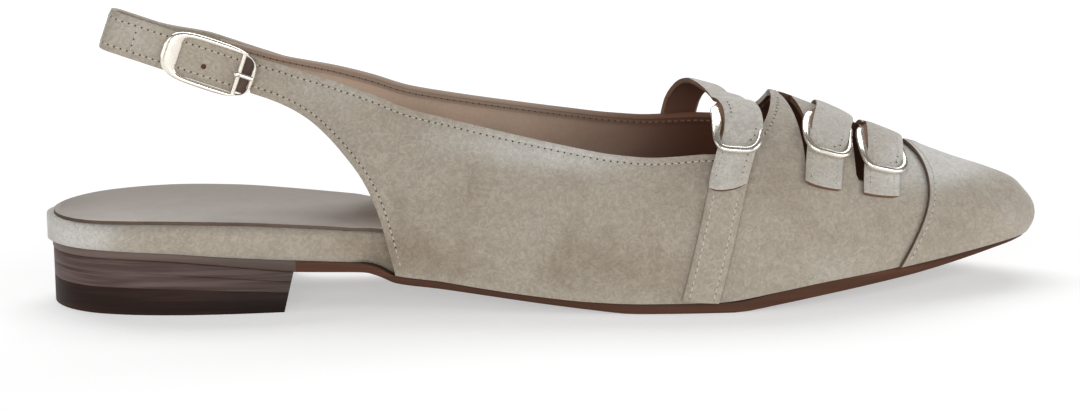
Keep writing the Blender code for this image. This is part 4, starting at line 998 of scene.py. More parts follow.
def upper_grid(side):
    """Points and normals of one side of the upper by column, and how far they lie from its two edges."""
    foot, foot_share, top, top_share, edged = upper_columns(side)
    f = np.linspace(0.0, 1.0, 41)
    points, normals = [], []
    for a, b, c, d in zip(foot, foot_share, top, top_share):
        line = last_points(side, a + (c - a) * f, b + (d - b) * f)
        run = np.concatenate(([0.0], np.cumsum(np.linalg.norm(np.diff(line, axis=0), axis=1))))
        near = EDGE_ROWS * min(1.0, run[-1] / (2.4 * EDGE_ROWS[-1]))
        middle = np.linspace(near[-1], run[-1] - near[-1], MIDDLE_ROWS + 1)[1:-1]
        at = np.interp(np.concatenate((near, middle, run[-1] - near[::-1])), run, f)
        points.append(last_points(side, a + (c - a) * at, b + (d - b) * at))
        normals.append(last_normals(side, a + (c - a) * at, b + (d - b) * at))
    points, tail = np.array(points), foot < QUARTER_START - 0.4
    from_top = edge_distance(points, last_points(side, top[:edged], top_share[:edged]))
    from_back = edge_distance(points, last_points(side, foot[tail], foot_share[tail]))
    return points, np.array(normals), from_top, from_back


def seam_relief(distance, inset):
    """Folded edge: a soft roll at the edge and a groove under the stitches."""
    return 0.10 * np.exp(-((distance - 0.9) / 0.7) ** 2) - 0.22 * np.exp(-((distance - inset) / 0.45) ** 2)


def crease_depth(points, side):
    """Depth of the soft creases at points of one side."""
    depth = np.zeros(points.shape[:-1])
    for where, station, height, length, width, angle, amount in zip(*CREASES.values()):
        if where != SIDES[side]:
            continue
        dx, dz = points[..., 0] - station, points[..., 2] - height
        c, s = math.cos(math.radians(angle)), math.sin(math.radians(angle))
        along, across = dx * c + dz * s, dz * c - dx * s
        across = across - 0.012 * along * along
        depth += amount * np.exp(-(along / length * 2) ** 2 - (across / width * 2) ** 2)
    return depth


def make_upper(scene):
    """Quarters, tails and vamp in one suede wall with its lining, and the two slots."""
    sizes, colours = scene.shoe_sizes, scene.shoe_colours
    bm = new_bmesh("edge")
    inset = sizes.stitch_inset / MM
    for side in SIDES:
        points, normals, from_top, from_back = upper_grid(side)
        at_edges = ramp(from_top, 0.0, 6.0) * ramp(from_back, 0.0, 6.0)
        relief = seam_relief(from_top, inset) + seam_relief(from_back, inset)
        relief -= crease_depth(points, side) * at_edges
        add_sheet(bm, points + normals * relief[..., None], edge=from_top)
    weld(bm)
    outwards(bm)
    piece = add_piece("upper_suede", bm, lined_suede(colours), ["upper"], sharp=70.0)
    add_wall(piece, sizes.upper_wall, inner=1, rounding=0.5)
    for index in range(len(SLOTS["ridge_station"])):
        cut = piece.modifiers.new("slot", "BOOLEAN")
        cut.operation = "DIFFERENCE"
        cut.object = slot_cutter({key: column[index] for key, column in SLOTS.items()})
    settle(piece, sharp=48.0)
    turn_in_rim(piece.data)


def turn_in_rim(mesh):
    """Give the top edge of the medial wall to the lining, which is turned over it."""
    edge = mesh.attributes["edge"].data
    for face in mesh.polygons:
        near = max(edge[vert].value for vert in face.vertices) < 0.45
        if face.center.y > 0.004 and near and face.normal.z > 0.3:
            face.material_index = 1


def outwards(bm):
    """Turn an open sheet so that its faces point away from the shoe's inside."""
    inside = sum((vert.co for vert in bm.verts), Vector()) / len(bm.verts)
    inside.z = 0.0
    facing = sum(face.normal.dot(face.calc_center_median() - inside) * face.calc_area() for face in bm.faces)
    if facing < 0.0:
        bmesh.ops.reverse_faces(bm, faces=bm.faces)
    bm.normal_update()


def settle(piece, sharp):
    """Apply a piece's modifiers, drop their helpers and shade it by its final edges."""
    bpy.context.view_layer.update()
    helpers = [modifier.object for modifier in piece.modifiers if modifier.type == "BOOLEAN"]
    evaluated = piece.evaluated_get(bpy.context.evaluated_depsgraph_get())
    mesh = bpy.data.meshes.new_from_object(evaluated, preserve_all_data_layers=True,
                                           depsgraph=bpy.context.evaluated_depsgraph_get())
    piece.modifiers.clear()
    piece.data = mesh
    mesh.shade_smooth()
    mesh.set_sharp_from_angle(angle=math.radians(sharp))
    for helper in helpers:
        bpy.data.objects.remove(helper)
    if len(mesh.polygons) < 8:
        raise RuntimeError(f"{piece.name} was lost when its modifiers were applied")


def slot_cutter(slot):
    """Bowed upright blade through the vamp, widest at the ridge."""
    top = last_at["ridge"](slot["ridge_station"]) + SLOT_CLEAR
    rings = []
    for y in np.linspace(-SLOT_LATERAL_SPAN, SLOT_MEDIAL_SPAN, 40):
        bow = math.sin(max(-y, 0.0) / SLOT_LATERAL_SPAN * math.pi / 2)
        station = slot["ridge_station"] + (slot["lateral_station"] - slot["ridge_station"]) * bow
        far = abs(y) / SLOT_LATERAL_SPAN
        half = (slot["ridge_width"] + (slot["end_width"] - slot["ridge_width"]) * far) / 2
        low = slot["end_height"]
        rings.append([(station - half, y, low + half), (station - half * 0.7, y, low + half * 0.3),
                      (station, y, low), (station + half * 0.7, y, low + half * 0.3),
                      (station + half, y, low + half), (station + half, y, top), (station - half, y, top)])
    bm = new_bmesh()
    add_loft(bm, np.array(rings), material=2)
    mesh = bpy.data.meshes.new("slot_cutter")
    bm.to_mesh(mesh)
    bm.free()
    for _ in range(3):
        mesh.materials.append(None)
    cutter = bpy.data.objects.new("slot_cutter", mesh)
    cutter.hide_render = True
    bpy.context.scene.collection.objects.link(cutter)
    return cutter


def cap_edge(share):
    """Station of the toe cap's edge at a share of the way from ridge to feather."""
    behind = share < CAP_FRONT_SHARE
    end = np.where(behind, CAP_AT_RIDGE, CAP_AT_FEATHER)
    reach = np.where(behind, CAP_FRONT_SHARE, 1.0 - CAP_FRONT_SHARE)
    return CAP_FRONT - (CAP_FRONT - end) * ((share - CAP_FRONT_SHARE) / reach) ** 2


def make_toe_cap(scene):
    """Cap over the toe, cut from the last's own surface and lifted off the upper."""
    sizes, colours = scene.shoe_sizes, scene.shoe_colours
    bm = new_bmesh("edge")
    shares = 1.0 - np.linspace(0.0, 1.0, 37)
    for side in SIDES:
        edge = cap_edge(1.0 - shares)
        rest = (1 - np.linspace(0.0, 1.0, 33)[:, None]) ** TIP_CROWDING
        points = last_points(side, UPPER_TIP - (UPPER_TIP - edge[None, :]) * rest, shares[None, :])
        add_sheet(bm, points, edge=np.full(points.shape[:2], 20.0))
    weld(bm)
    outwards(bm)
    lift = GAP * MM + sizes.cap_wall
    for vert, normal in [(vert, vert.normal.copy()) for vert in bm.verts]:
        vert.co += normal * lift
    materials = [suede_material(colours), lining_material(colours), dark_edge_material(colours)]
    piece = add_piece("toe_cap_suede", bm, materials, ["toe_cap"], sharp=70.0)
    add_wall(piece, sizes.cap_wall, inner=1, rim=2, rounding=0.22)
    settle(piece, sharp=48.0)


def stacked(strap, along, wall):
    """Height of the side strap that lies under a strap, fading out past the buckle."""
    return strap["stack"] * (wall + GAP) * (1.0 - ramp(along, *STACK_FADE))


def strap_lift(strap, girth, wall, across=0.0, width=1.0):
    """Height of a strap's outer face above the last: its hump over the buckle and its slack."""
    along = girth - strap["buckle"]
    hump = HUMP * ramp(along, *HUMP_RISE) * (1.0 - ramp(along, *HUMP_FALL))
    share = 0.5 + across / width
    hang = strap["slack"] * (slack_at["back"](girth) * (1.0 - share) + slack_at["front"](girth) * share)
    return STRAP_GAP + wall + hump + stacked(strap, along, wall) - hang


def strap_route(number):
    """Station of a strap's middle by girth, a little off the frame's middle over its buckle."""
    strap, middle = STRAPS[number], smooth_line(STRAP_ROUTES[number], "girth", "station")

    def station(girth):
        along = np.asarray(girth) - strap["buckle"]
        return middle(girth) + strap["shift"] * ramp(along, *SHIFT_RISE) * (1.0 - ramp(along, *SHIFT_FALL))

    return station


def strap_points(start, end, route, lift_at, width, strap=None, rows=12, step=0.8):
    """Grid of a strap's outer face with softly turned-down edges; a tab end is cut bowed and askew."""
    strap = strap or {"end_bow": 0.0, "end_skew": 0.0, "skew": 0.0}
    columns = round((end - start) / step)
    across = np.sin(np.linspace(-0.5, 0.5, rows + 1) * math.pi)[None, :] * width / 2
    side = np.abs(across) / (width / 2)
    share = np.linspace(0.0, 1.0, columns + 1)[:, None]
    begin = start + strap["end_bow"] * side ** 2.5 + strap["end_skew"] * across
    girth = begin + (end - begin) * share
    relief = 0.14 * (1.0 - side ** 2) - 0.30 * side ** 10
    place = (route(girth) + across, girth * (1.0 - strap["skew"] * across))
    return lifted(*place, lift_at(girth, across) + relief)


def strap_piece(name, points, colours, wall, node, shade):
    bm = new_bmesh("edge")
    add_sheet(bm, points, edge=np.full(points.shape[:2], 20.0))
    bm.normal_update()
    middle = sum((vert.co for vert in bm.verts), Vector()) / len(bm.verts)
    middle.y, middle.z = 0.0, 0.0
    if sum(face.normal.dot(face.calc_center_median() - middle) for face in bm.faces) < 0.0:
        bmesh.ops.reverse_faces(bm, faces=bm.faces)
    piece = add_piece(name, bm, lined_suede(colours), [node], sharp=70.0, shade=shade)
    add_wall(piece, wall, inner=1, rim=2, rounding=0.25)
    settle(piece, sharp=48.0)


def strap_ends(number):
    """Girth of a strap's tab end and medial end."""
    strap, route = STRAPS[number], strap_route(number)
    end = strap["medial_end"]
    if end is None:
        end = half_girth("medial", float(route(STRAP_FOOT))) - GAP
    return strap["tab_end"], end


def make_straps(scene):
    """The three instep straps and the side strap."""
    sizes, colours = scene.shoe_sizes, scene.shoe_colours
    wall, width = sizes.strap_wall / MM, sizes.strap_width / MM
    for number, strap in STRAPS.items():
        route = strap_route(number)
        start, end = strap_ends(number)

        def lift_at(girth, across, strap=strap):
            return strap_lift(strap, girth, wall, across, width)

        points = strap_points(start, end, route, lift_at, width, strap)
        node = f"instep_strap_{number}"
        strap_piece(f"{node}_suede", points, colours, sizes.strap_wall, node, strap["shade"])
        add_strap_edge_shade(number, colours, wall, width)
    route = smooth_line(SIDE_ROUTE, "girth", "station")
    start = GAP - half_girth("lateral", route(SIDE_STRAP_FOOT))

    def flat_at(girth, across):
        return np.full(girth.shape, STRAP_GAP + wall)

    points = strap_points(start, SIDE_STRAP_TOP, route, flat_at, width)
    strap_piece("side_strap_suede", points, colours, sizes.strap_wall, "side_strap", 0.0)


def add_strap_edge_shade(number, colours, wall, width):
    """Dark sheet along a strap's rear edge where it rises over its buckle, from that edge down to the upper:
    the cut edge and painted shade under it.
    """
    strap, route = STRAPS[number], strap_route(number)
    girth = strap["buckle"] + np.linspace(*FLANK_SPAN, 22)[:, None]
    share = np.linspace(0.0, 1.0, 5)[None, :]
    across = -width / 2 + 0.25 - FLANK_REACH * share
    top = strap_lift(strap, girth, wall, -width / 2, width) - 0.45
    low = STRAP_GAP + 0.25 + stacked(strap, girth - strap["buckle"], wall)
    points = lifted(route(girth) + across, girth * (1.0 - strap["skew"] * across), top + (low - top) * share)
    bm = new_bmesh()
    add_sheet(bm, points)
    outwards(bm)
    add_piece(f"strap_{number}_cut_edge_and_shade", bm, [raw_edge_material(colours)])


def wire_rings(centres, normals, widths, heights, closed, sides=14, flat=0.75):
    """Rings of a wire along a line: a rounded section, wide in the plane and high along the normals."""
    if closed:
        tangent = np.roll(centres, -1, axis=0) - np.roll(centres, 1, axis=0)
    else:
        tangent = np.gradient(centres, axis=0)
    tangent /= np.linalg.norm(tangent, axis=1, keepdims=True)
    out = np.cross(tangent, normals)
    out /= np.linalg.norm(out, axis=1, keepdims=True)
    turn = np.linspace(0.0, 2 * math.pi, sides, endpoint=False)
    c = np.sign(np.cos(turn)) * np.abs(np.cos(turn)) ** flat
    s = np.sign(np.sin(turn)) * np.abs(np.sin(turn)) ** flat
    return centres[:, None] + out[:, None] * (c[None, :, None] * np.reshape(widths, (-1, 1, 1)) / 2) \
        + normals[:, None] * (s[None, :, None] * np.reshape(heights, (-1, 1, 1)) / 2)


def make_instep_buckles(scene):
    """Three bright frames: a broad rear leg, a bow over the tab and a thin side under the strap."""
    sizes, colours = scene.shoe_sizes, scene.shoe_colours
    wall = sizes.strap_wall / MM
    turn = np.linspace(0.0, 2 * math.pi, 96, endpoint=False)
    c, s = np.cos(turn), np.sin(turn)
    share = np.sign(c) * np.abs(c) ** np.where(c > 0.0, FRAME_CORNER, FRAME_BOW)
    across = FRAME_WIDTH / 2 * np.sign(s) * np.abs(s) ** FRAME_CORNER
    thin = ramp(share, *BAR_FROM)
    rear = ramp(-across / (FRAME_WIDTH / 2), 0.5, 0.95) * ramp(share, -0.75, 0.0) * (1.0 - thin)
    front = ramp(across / (FRAME_WIDTH / 2), 0.4, 0.95) * ramp(share, -0.9, 0.0)
    for number, strap in STRAPS.items():
        route = smooth_line(STRAP_ROUTES[number], "girth", "station")
        along = FRAME_LENGTH / 2 * share
        girth = strap["buckle"] + along
        lift = BAR_LIFT + (BOW_LIFT - BAR_LIFT) * ramp(-share, *FRAME_TILT) + stacked(strap, along, wall)
        place = (route(girth) + across + 0.25 * rear - 0.55 * front, girth * (1.0 - strap["skew"] * across))
        widths = 1.6 + 1.1 * rear - 0.55 * thin - 0.5 * front
        rings = wire_rings(lifted(*place, lift), girth_normals(*place), widths, 1.5 - 0.4 * thin, True)
        bm = new_bmesh()
        add_loft(bm, rings, closed=True)
        add_piece(f"instep_buckle_{number}_polished", bm, [metal_material(colours)],
                  [f"instep_buckle_{number}"], sharp=50.0)


def sling_point(along, y, across):
    """Point in the sling's slanting plane, in millimetres."""
    station = SLING_REAR + along * math.cos(SLING_SLOPE) + across * math.sin(SLING_SLOPE)
    height = SLING_REAR_HEIGHT - along * math.sin(SLING_SLOPE) + across * math.cos(SLING_SLOPE)
    return np.stack(np.broadcast_arrays(station, y, height), axis=-1)


def sling_route(wall):
    """Middle line of the sling strap: lateral run, turn at the heel, medial run; and its outer side."""
    to_along = 1.0 / math.cos(SLING_SLOPE)
    lateral_end, medial_end, parting, step_out = (
        (station - SLING_REAR) * to_along
        for station in (SLING_LATERAL_END, SLING_MEDIAL_END, SLING_PARTING, SLING_OVERLAP_START))
    turn = np.linspace(-math.pi / 2, math.pi / 2, 25)
    first = np.linspace(lateral_end, SLING_TURN, 42)[:-1]
    last = np.linspace(SLING_TURN, medial_end, 56)[1:]
    station = SLING_REAR + last * math.cos(SLING_SLOPE)
    height = SLING_REAR_HEIGHT - last * math.sin(SLING_SLOPE)
    outside = half_at_height("medial", station, height) + GAP + wall / 2
    middle = SLING_TURN - SLING_SIDE
    beside = middle + SLING_TURN
    along = np.concatenate((first, SLING_TURN * (1 - np.cos(turn)), last))
    side = np.concatenate((np.full(len(first), -SLING_SIDE), middle + SLING_TURN * np.sin(turn),
                           beside + (outside - beside) * ramp(last, parting, step_out)))
    ahead = np.gradient(np.column_stack((along, side)), axis=0)
    out = np.column_stack((ahead[:, 1], -ahead[:, 0])) / np.linalg.norm(ahead, axis=1, keepdims=True)
    return along, side, out if out[0, 1] < 0.0 else -out


def make_sling(scene):
    """Sling strap round the heel with its buckle."""
    sizes, colours = scene.shoe_sizes, scene.shoe_colours
    wall = sizes.strap_wall / MM
    along, side, out = sling_route(wall)
    across = np.sin(np.linspace(-0.5, 0.5, 11) * math.pi) * SLING_WIDTH / 2
    drop = wall / 2 - 0.25 * (np.abs(across) / (SLING_WIDTH / 2)) ** 8
    points = sling_point(along[:, None] + out[:, :1] * drop, side[:, None] + out[:, 1:] * drop,
                         across[None, :])
    bm = new_bmesh("edge")
    add_sheet(bm, points, edge=np.full(points.shape[:2], 20.0))
    bm.normal_update()
    near = min(bm.faces, key=lambda face: face.calc_center_median().y)
    if near.normal.y > 0.0:
        bmesh.ops.reverse_faces(bm, faces=bm.faces)
    piece = add_piece("sling_strap_suede", bm, [suede_material(colours)], ["sling_strap"],
                      sharp=70.0)
    add_wall(piece, sizes.strap_wall, rounding=0.25)
    settle(piece, sharp=48.0)
    make_sling_gap_shade(colours, wall)
    make_sling_buckle(colours, wall)


def make_sling_gap_shade(colours, wall):
    """Dark sheet behind the frame, between its bar and its front end: painted shadow in the gap, shaped like
    the tail's end folded round the bar.
    """
    front = (SLING_FRAME_CENTRE - SLING_REAR) / math.cos(SLING_SLOPE) + SLING_FRAME_LENGTH / 2
    bar_at, half = front - SLING_BAR_FROM_FRONT, SLING_FRAME_WIDTH / 2 - 2.0
    turn = np.linspace(0.0, 2 * math.pi, 16, endpoint=False)
    along = (bar_at + front - 1.2) / 2 + np.cos(turn) * (front - 1.2 - bar_at) / 2
    depth = -(SLING_SIDE + wall / 2 - 0.25) + np.sin(turn) * 0.42
    rings = [sling_point(along, depth, np.full(16, across)) for across in np.linspace(-half, half, 7)]
    bm = new_bmesh()
    add_loft(bm, np.array(rings))
    add_piece("sling_gap_shadow", bm, [dark_edge_material(colours)])


def make_sling_buckle(colours, wall):
    """Frame with one broad rear end, its thin front end, bar, ball and prong."""
    centre = (SLING_FRAME_CENTRE - SLING_REAR) / math.cos(SLING_SLOPE)
    half_length, half_width = SLING_FRAME_LENGTH / 2, SLING_FRAME_WIDTH / 2
    face = -(SLING_SIDE + wall / 2 + GAP)
    turn = np.linspace(0.0, 2 * math.pi, 96, endpoint=False)
    c, s = np.cos(turn), np.sin(turn)

    def outline(rear, front, half, roundness):
        along = (rear + front) / 2 + np.sign(c) * np.abs(c) ** roundness * (front - rear) / 2
        return along, half * np.sign(s) * np.abs(s) ** roundness

    outside = outline(centre - half_length, centre + half_length, half_width, 0.62)
    window = outline(centre - half_length + 4.4, centre + half_length - 1.1, half_width - 1.35, 0.34)
    profile = ((0.0, 0.0), (0.0, 0.55), (0.10, 0.9), (0.3, 1.15), (0.7, 1.15), (0.9, 0.9), (1.0, 0.55),
               (1.0, 0.0))
    rings = []
    for k in range(len(turn)):
        ring = []
        for share, depth in profile:
            along = outside[0][k] + share * (window[0][k] - outside[0][k])
            across = outside[1][k] + share * (window[1][k] - outside[1][k])
            ring.append(sling_point(along, face - depth, across))
        rings.append(ring)
    bm = new_bmesh()
    add_loft(bm, np.array(rings), closed=True)
    bar_at = centre + half_length - SLING_BAR_FROM_FRONT
    level = face - 0.75
    reach = np.linspace(-1.0, 1.0, 9) * (half_width - 0.9)
    normals = np.tile((0.0, -1.0, 0.0), (9, 1))
    bar = sling_point(np.full(9, bar_at), level, reach)
    add_loft(bm, wire_rings(bar, normals, np.full(9, 1.15), np.full(9, 1.05), False, flat=1.0))
    prong = sling_point(np.linspace(bar_at - 0.6, centre + half_length - 0.5, 9), level - 0.25, np.zeros(9))
    add_loft(bm, wire_rings(prong, normals, np.full(9, 1.25), np.full(9, 1.0), False, flat=1.0))
    ball = Matrix.Translation(world(sling_point(bar_at - 0.5, level - 0.45, 0.0)))
    bmesh.ops.create_uvsphere(bm, u_segments=16, v_segments=10, radius=0.9 * MM, matrix=ball)
    add_piece("sling_buckle_polished", bm, [metal_material(colours)], ["sling_buckle"],
              sharp=50.0)


def edge_row(points, normals, inset, towards):
    """Line beside an edge, moved inwards on the surface by an inset."""
    tangent = np.gradient(points, axis=0)
    tangent /= np.maximum(np.linalg.norm(tangent, axis=1, keepdims=True), 1e-9)
    inwards = np.cross(normals, tangent)
    inwards /= np.maximum(np.linalg.norm(inwards, axis=1, keepdims=True), 1e-9)
    flip = np.sign(np.sum(inwards * (towards - points), axis=1, keepdims=True))
    return points + inwards * flip * inset


def stepped(points, normals, pitch):
    """Points and normals at an even pitch along a line."""
    run = np.concatenate(([0.0], np.cumsum(np.linalg.norm(np.diff(points, axis=0), axis=1))))
    stops = np.linspace(0.0, run[-1], max(2, round(run[-1] / pitch) + 1))
    at = [np.column_stack([np.interp(stops, run, array[:, axis]) for axis in range(3)])
          for array in (points, normals)]
    return at[0], at[1] / np.linalg.norm(at[1], axis=1, keepdims=True)


def stitch_template(sizes, needle):
    """One stitch along X with a needle hole, a share of the full size, at its start."""
    bm = bmesh.new()
    shape = Matrix.Diagonal((sizes.stitch_pitch * 0.74, sizes.thread, sizes.thread * 0.75, 1.0))
    bmesh.ops.create_uvsphere(bm, u_segments=8, v_segments=6, radius=0.5, matrix=shape)
    start = Matrix.Translation((-sizes.stitch_pitch / 2, 0.0, 0.03 * MM))
    hole = bmesh.ops.create_circle(bm, cap_ends=True, segments=8, radius=needle * sizes.needle_hole / 2,
                                    matrix=start)["verts"]
    for face in {face for vert in hole for face in vert.link_faces}:
        face.material_index = 1
    mesh = bpy.data.meshes.new("stitch")
    bm.to_mesh(mesh)
    bm.free()
    return mesh


def add_stitches(bm, points, normals, sizes, rise=0.0, needle=1.0):
    """Row of stitches at an even pitch along a line."""
    stitch = stitch_template(sizes, needle)
    spots, ups = stepped(points, normals, sizes.stitch_pitch / MM)
    for k in range(len(spots) - 1):
        along = spots[k + 1] - spots[k]
        up = (ups[k] + ups[k + 1]) / 2
        place = axes_matrix((spots[k] + spots[k + 1]) / 2 + up * (rise + 0.04), along, up)
        stitch.transform(place)
        bm.from_mesh(stitch)
        stitch.transform(place.inverted())
    bpy.data.meshes.remove(stitch)


def axes_matrix(point, along, up):
    """Placing matrix with X along a direction and Z up a normal."""
    z = Vector(up).normalized()
    y = z.cross(Vector(along)).normalized()
    x = y.cross(z)
    turn = Matrix((x, y, z)).transposed().to_4x4()
    return Matrix.Translation(world(point)) @ turn


def add_row(bm, inside, side, points, normals, sizes, towards):
    """Stitch rows beside an edge of the upper, on its suede and on its lining."""
    inset, wall = sizes.stitch_inset / MM, sizes.upper_wall / MM

    def row(distance):
        line = edge_row(points, normals, distance, towards)
        on_side = 1.0 - ramp(line[:, 0], THROAT_SIDE - 8.0, THROAT_SIDE)
        beside = SIDES[side] * half_at_height(side, line[:, 0], line[:, 2])
        line[:, 1] += on_side * (beside - line[:, 1])
        return line

    add_stitches(bm, row(inset), normals, sizes, rise=-0.12)
    add_stitches(inside, row(0.65 * inset) - normals * wall, -normals, sizes, rise=0.22)


def sew_upper(sizes, materials, lining_materials):
    """Rows along the top line, the throat and the tails, on the suede and on the lining."""
    bm, inside = new_bmesh(), new_bmesh()
    for side in SIDES:
        foot, foot_share, top, top_share, edged = upper_columns(side)
        edged -= 1
        foot_top, top_top = foot[:edged], top[:edged]
        points = last_points(side, top_top, top_share[:edged])
        ahead = 4.0 * ramp(top_top, 176.0, 190.0)
        within = last_points(side, foot_top * 0.3 + top_top * 0.7 + ahead,
                             foot_share[:edged] * 0.3 + top_share[:edged] * 0.7)
        normals = last_normals(side, top_top, np.minimum(top_share[:edged], RIDGE_SIDE))
        add_row(bm, inside, side, points, normals, sizes, within)
        tail = foot < QUARTER_START - 0.4
        points = last_points(side, foot[tail], foot_share[tail])
        within = last_points(side, foot[tail] + 6.0, foot_share[tail] + 0.12)
        normals = last_normals(side, foot[tail], foot_share[tail])
        add_row(bm, inside, side, points, normals, sizes, within)
    add_piece("upper_stitching", bm, materials)
    add_piece("lining_stitching", inside, lining_materials)


def sew_cap(sizes, materials):
    """Quiet row beside the toe cap's edge."""
    bm = new_bmesh()
    share = 1.0 - np.linspace(0.0, 0.97, 60)
    row = cap_edge(1.0 - share) + 0.8 * sizes.stitch_inset / MM
    for side in SIDES:
        normals = last_normals(side, row, np.minimum(share, RIDGE_SIDE))
        points = last_points(side, row, share) + normals * (GAP + sizes.cap_wall / MM)
        add_stitches(bm, points, normals, sizes, needle=0.55)
    add_piece("toe_cap_stitching", bm, materials)


def sew_straps(sizes, materials):
    """Rows round each tab and each end that rises over its buckle, and along the side strap."""
    wall, inset, width = sizes.strap_wall / MM, sizes.stitch_inset / MM, sizes.strap_width / MM
    bm = new_bmesh()
    half = width / 2 - inset + 0.2
    for number, strap in STRAPS.items():
        route, buckle = strap_route(number), strap["buckle"]
        for low, high in ((strap["tab_end"] + inset, buckle - 7.6), (buckle - 5.0, buckle + 7.0)):
            corners = [(high, -half), (low, -half), (low, half), (high, half)]
            runs = [np.linspace(a, b, 12)[:-1] for a, b in zip(corners, corners[1:])]
            girth, across = np.concatenate(runs + [corners[-1:]]).T
            place = (route(girth) + across, girth * (1.0 - strap["skew"] * across))
            lift = strap_lift(strap, girth, wall, across, width)
            add_stitches(bm, lifted(*place, lift), girth_normals(*place), sizes)
    route = smooth_line(SIDE_ROUTE, "girth", "station")
    start = GAP - half_girth("lateral", route(SIDE_STRAP_FOOT)) + 1.0
    girth = np.linspace(start, STRAPS[1]["tab_end"] - 0.8, 40)
    for across in (-half, half):
        place = (route(girth) + across, girth)
        add_stitches(bm, lifted(*place, np.full(40, STRAP_GAP + wall)), girth_normals(*place), sizes)
    add_piece("strap_stitching", bm, materials)


def sew_sling(sizes, materials):
    """Rows along both edges of the sling, the seam across its end and the pin hole."""
    wall, reach = sizes.strap_wall / MM, SLING_WIDTH / 2 - sizes.stitch_inset / MM
    bm = new_bmesh()
    along, side, out = sling_route(wall)
    outer = sling_point(along + out[:, 0], side + out[:, 1], 0.0) - sling_point(along, side, 0.0)
    for across in (-reach, reach):
        line = sling_point(along + out[:, 0] * wall / 2, side + out[:, 1] * wall / 2, across)
        add_stitches(bm, line, outer, sizes)
    cross = sling_point(np.full(8, SLING_MARK), -SLING_SIDE - wall / 2, np.linspace(-reach, reach, 8))
    add_stitches(bm, cross, np.tile((0.0, -1.0, 0.0), (8, 1)), sizes)
    spot = sling_point(SLING_HOLE_ALONG, -SLING_SIDE - wall / 2 - 0.06, SLING_HOLE_ACROSS)
    place = axes_matrix(spot, (1.0, 0.0, 0.0), (0.0, -1.0, 0.0))
    hole = bmesh.ops.create_circle(
        bm, cap_ends=True, segments=16, radius=SLING_HOLE_RADIUS * MM, matrix=place)
    for face in {face for vert in hole["verts"] for face in vert.link_faces}:
        face.material_index = 1
    add_piece("sling_stitching", bm, materials)


def make_stitching(scene):
    """Stitch rows of the upper, the cap, the straps and the sling."""
    sizes, colours = scene.shoe_sizes, scene.shoe_colours
    hole = hole_material(colours)
    materials = [thread_material("sewing_thread", colours.thread), hole]
    sew_upper(sizes, materials, [thread_material("lining_thread", colours.lining_thread), hole])
    sew_cap(sizes, materials)
    sew_straps(sizes, materials)
    sew_sling(sizes, materials)


def add_light(name, place, size, power, aim=(0.0, 0.0, 0.03)):
    data = bpy.data.lights.new(name, "AREA")
    data.shape = "RECTANGLE"
    data.size, data.size_y = size
    data.energy = power
    light = bpy.data.objects.new(name, data)
    light.location = place
    light.rotation_euler = (Vector(aim) - Vector(place)).to_track_quat("-Z", "Y").to_euler()
    bpy.context.scene.collection.objects.link(light)


def make_stage(scene):
    """Pale floor, soft light and the camera at the picture's angle."""
    stage = scene.shoe_stage
    bm = bmesh.new()
    bmesh.ops.create_grid(bm, x_segments=8, y_segments=8, size=4.0)
    mesh = bpy.data.meshes.new("floor")
    bm.to_mesh(mesh)
    bm.free()
    material, tree, shader = new_material("pale_floor", Roughness=0.9, Specular_IOR_Level=0.1)
    where = object_coords(tree)
    tone = mix(tree, noise(tree, where, 40.0), solid(stage.floor), solid(deeper(stage.floor, 0.995)))
    tree.links.new(tone, shader.inputs["Base Color"])
    shader.inputs["Emission Color"].default_value = (1.0, 1.0, 1.0, 1.0)
    shader.inputs["Emission Strength"].default_value = stage.glow
    mesh.materials.append(material)
    floor = bpy.data.objects.new("floor", mesh)
    scene.collection.objects.link(floor)
    world_light = bpy.data.worlds.new("soft_sky")
    world_light.use_nodes = True
    sky = world_light.node_tree.nodes["Background"]
    sky.inputs["Color"].default_value = (1.0, 1.0, 1.0, 1.0)
    sky.inputs["Strength"].default_value = stage.sky
    scene.world = world_light
    add_light("back_light", (-0.1, 0.9, 1.05), (1.6, 0.8), stage.back)
    add_light("front_light", (0.0, -1.4, 0.35), (1.4, 0.5), stage.front)
    add_light("left_light", (-1.1, -0.5, 0.4), (0.8, 0.7), stage.left)
    add_light("right_light", (1.1, -0.5, 0.45), (0.8, 0.7), stage.right)
    data = bpy.data.cameras.new("camera")
    data.lens = stage.lens
    data.sensor_width = 36.0
    camera = bpy.data.objects.new("camera", data)
    back = Vector((0.0, -math.cos(stage.elevation), math.sin(stage.elevation)))
    camera.location = Vector(stage.aim) + back * stage.distance
    turn = (-back).to_track_quat("-Z", "Y").to_matrix() @ Matrix.Rotation(-stage.roll, 3, "Z")
    camera.rotation_euler = turn.to_euler()
    scene.collection.objects.link(camera)
    scene.camera = camera
    scene.view_settings.view_transform = "Standard"


class SHOE_OT_sole(bpy.types.Operator):
    """Dress the outsole"""

    bl_idname = "shoe.sole"
    bl_label = "Outsole"

    def execute(self, context):
        make_sole(context.scene)
        return {"FINISHED"}


class SHOE_OT_heel(bpy.types.Operator):
    """Dress the stacked heel"""

    bl_idname = "shoe.heel"
    bl_label = "Heel"

    def execute(self, context):
        make_heel(context.scene)
        return {"FINISHED"}


class SHOE_OT_footbed(bpy.types.Operator):
    """Wrap the footbed and lay the sock"""

    bl_idname = "shoe.footbed"
    bl_label = "Footbed and sock"

    def execute(self, context):
        make_footbed(context.scene)
        return {"FINISHED"}


class SHOE_OT_upper(bpy.types.Operator):
    """Dress the upper with its lining and slots"""

    bl_idname = "shoe.upper"
    bl_label = "Upper"

    def execute(self, context):
        make_upper(context.scene)
        return {"FINISHED"}


class SHOE_OT_toe_cap(bpy.types.Operator):
    """Lay the toe cap"""

    bl_idname = "shoe.toe_cap"
    bl_label = "Toe cap"

    def execute(self, context):
        make_toe_cap(context.scene)
        return {"FINISHED"}


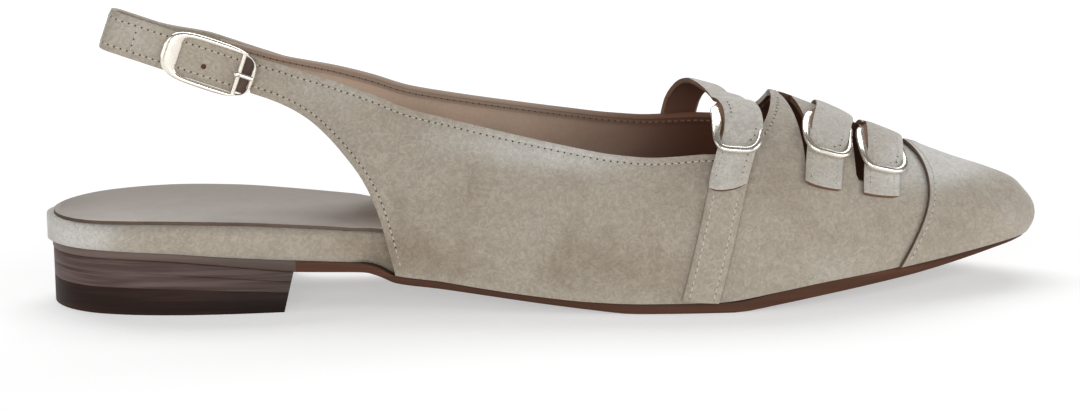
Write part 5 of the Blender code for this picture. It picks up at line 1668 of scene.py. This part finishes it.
class SHOE_OT_straps(bpy.types.Operator):
    """Lay the instep straps and the side strap"""

    bl_idname = "shoe.straps"
    bl_label = "Straps"

    def execute(self, context):
        make_straps(context.scene)
        return {"FINISHED"}


class SHOE_OT_instep_buckles(bpy.types.Operator):
    """Make the instep buckles"""

    bl_idname = "shoe.instep_buckles"
    bl_label = "Instep buckles"

    def execute(self, context):
        make_instep_buckles(context.scene)
        return {"FINISHED"}


class SHOE_OT_sling(bpy.types.Operator):
    """Make the sling strap and its buckle"""

    bl_idname = "shoe.sling"
    bl_label = "Sling"

    def execute(self, context):
        make_sling(context.scene)
        return {"FINISHED"}


class SHOE_OT_stitching(bpy.types.Operator):
    """Sew the stitch rows"""

    bl_idname = "shoe.stitching"
    bl_label = "Stitching"

    def execute(self, context):
        make_stitching(context.scene)
        return {"FINISHED"}


class SHOE_OT_stage(bpy.types.Operator):
    """Set the floor, the lights and the camera"""

    bl_idname = "shoe.stage"
    bl_label = "Stage"

    def execute(self, context):
        make_stage(context.scene)
        return {"FINISHED"}


PIECE_OPERATORS = (
    SHOE_OT_stage, SHOE_OT_sole, SHOE_OT_heel, SHOE_OT_footbed, SHOE_OT_upper, SHOE_OT_toe_cap,
    SHOE_OT_straps, SHOE_OT_instep_buckles, SHOE_OT_sling, SHOE_OT_stitching)


class SHOE_PT_panel(bpy.types.Panel):
    """Lists the shoe's pieces and settings"""

    bl_idname = "SHOE_PT_panel"
    bl_label = "Slingback shoe"
    bl_space_type = "VIEW_3D"
    bl_region_type = "UI"
    bl_category = "Shoe"

    def draw(self, context):
        for operator in PIECE_OPERATORS:
            self.layout.operator(operator.bl_idname)
        for group in (context.scene.shoe_sizes, context.scene.shoe_colours, context.scene.shoe_stage):
            box = self.layout.box()
            for name in group.__annotations__:
                box.prop(group, name)


SETTINGS = {"shoe_sizes": ShoeSizes, "shoe_colours": ShoeColours, "shoe_stage": ShoeStage}


def register():
    for cls in (*SETTINGS.values(), *PIECE_OPERATORS, SHOE_PT_panel):
        bpy.utils.register_class(cls)
    for name, cls in SETTINGS.items():
        setattr(bpy.types.Scene, name, bpy.props.PointerProperty(type=cls))


def unregister():
    for name in SETTINGS:
        delattr(bpy.types.Scene, name)
    for cls in (SHOE_PT_panel, *reversed(PIECE_OPERATORS), *SETTINGS.values()):
        bpy.utils.unregister_class(cls)


def main():
    register()
    for operator in PIECE_OPERATORS:
        group, name = operator.bl_idname.split(".")
        getattr(getattr(bpy.ops, group), name)()


if __name__ == "__main__":
    main()
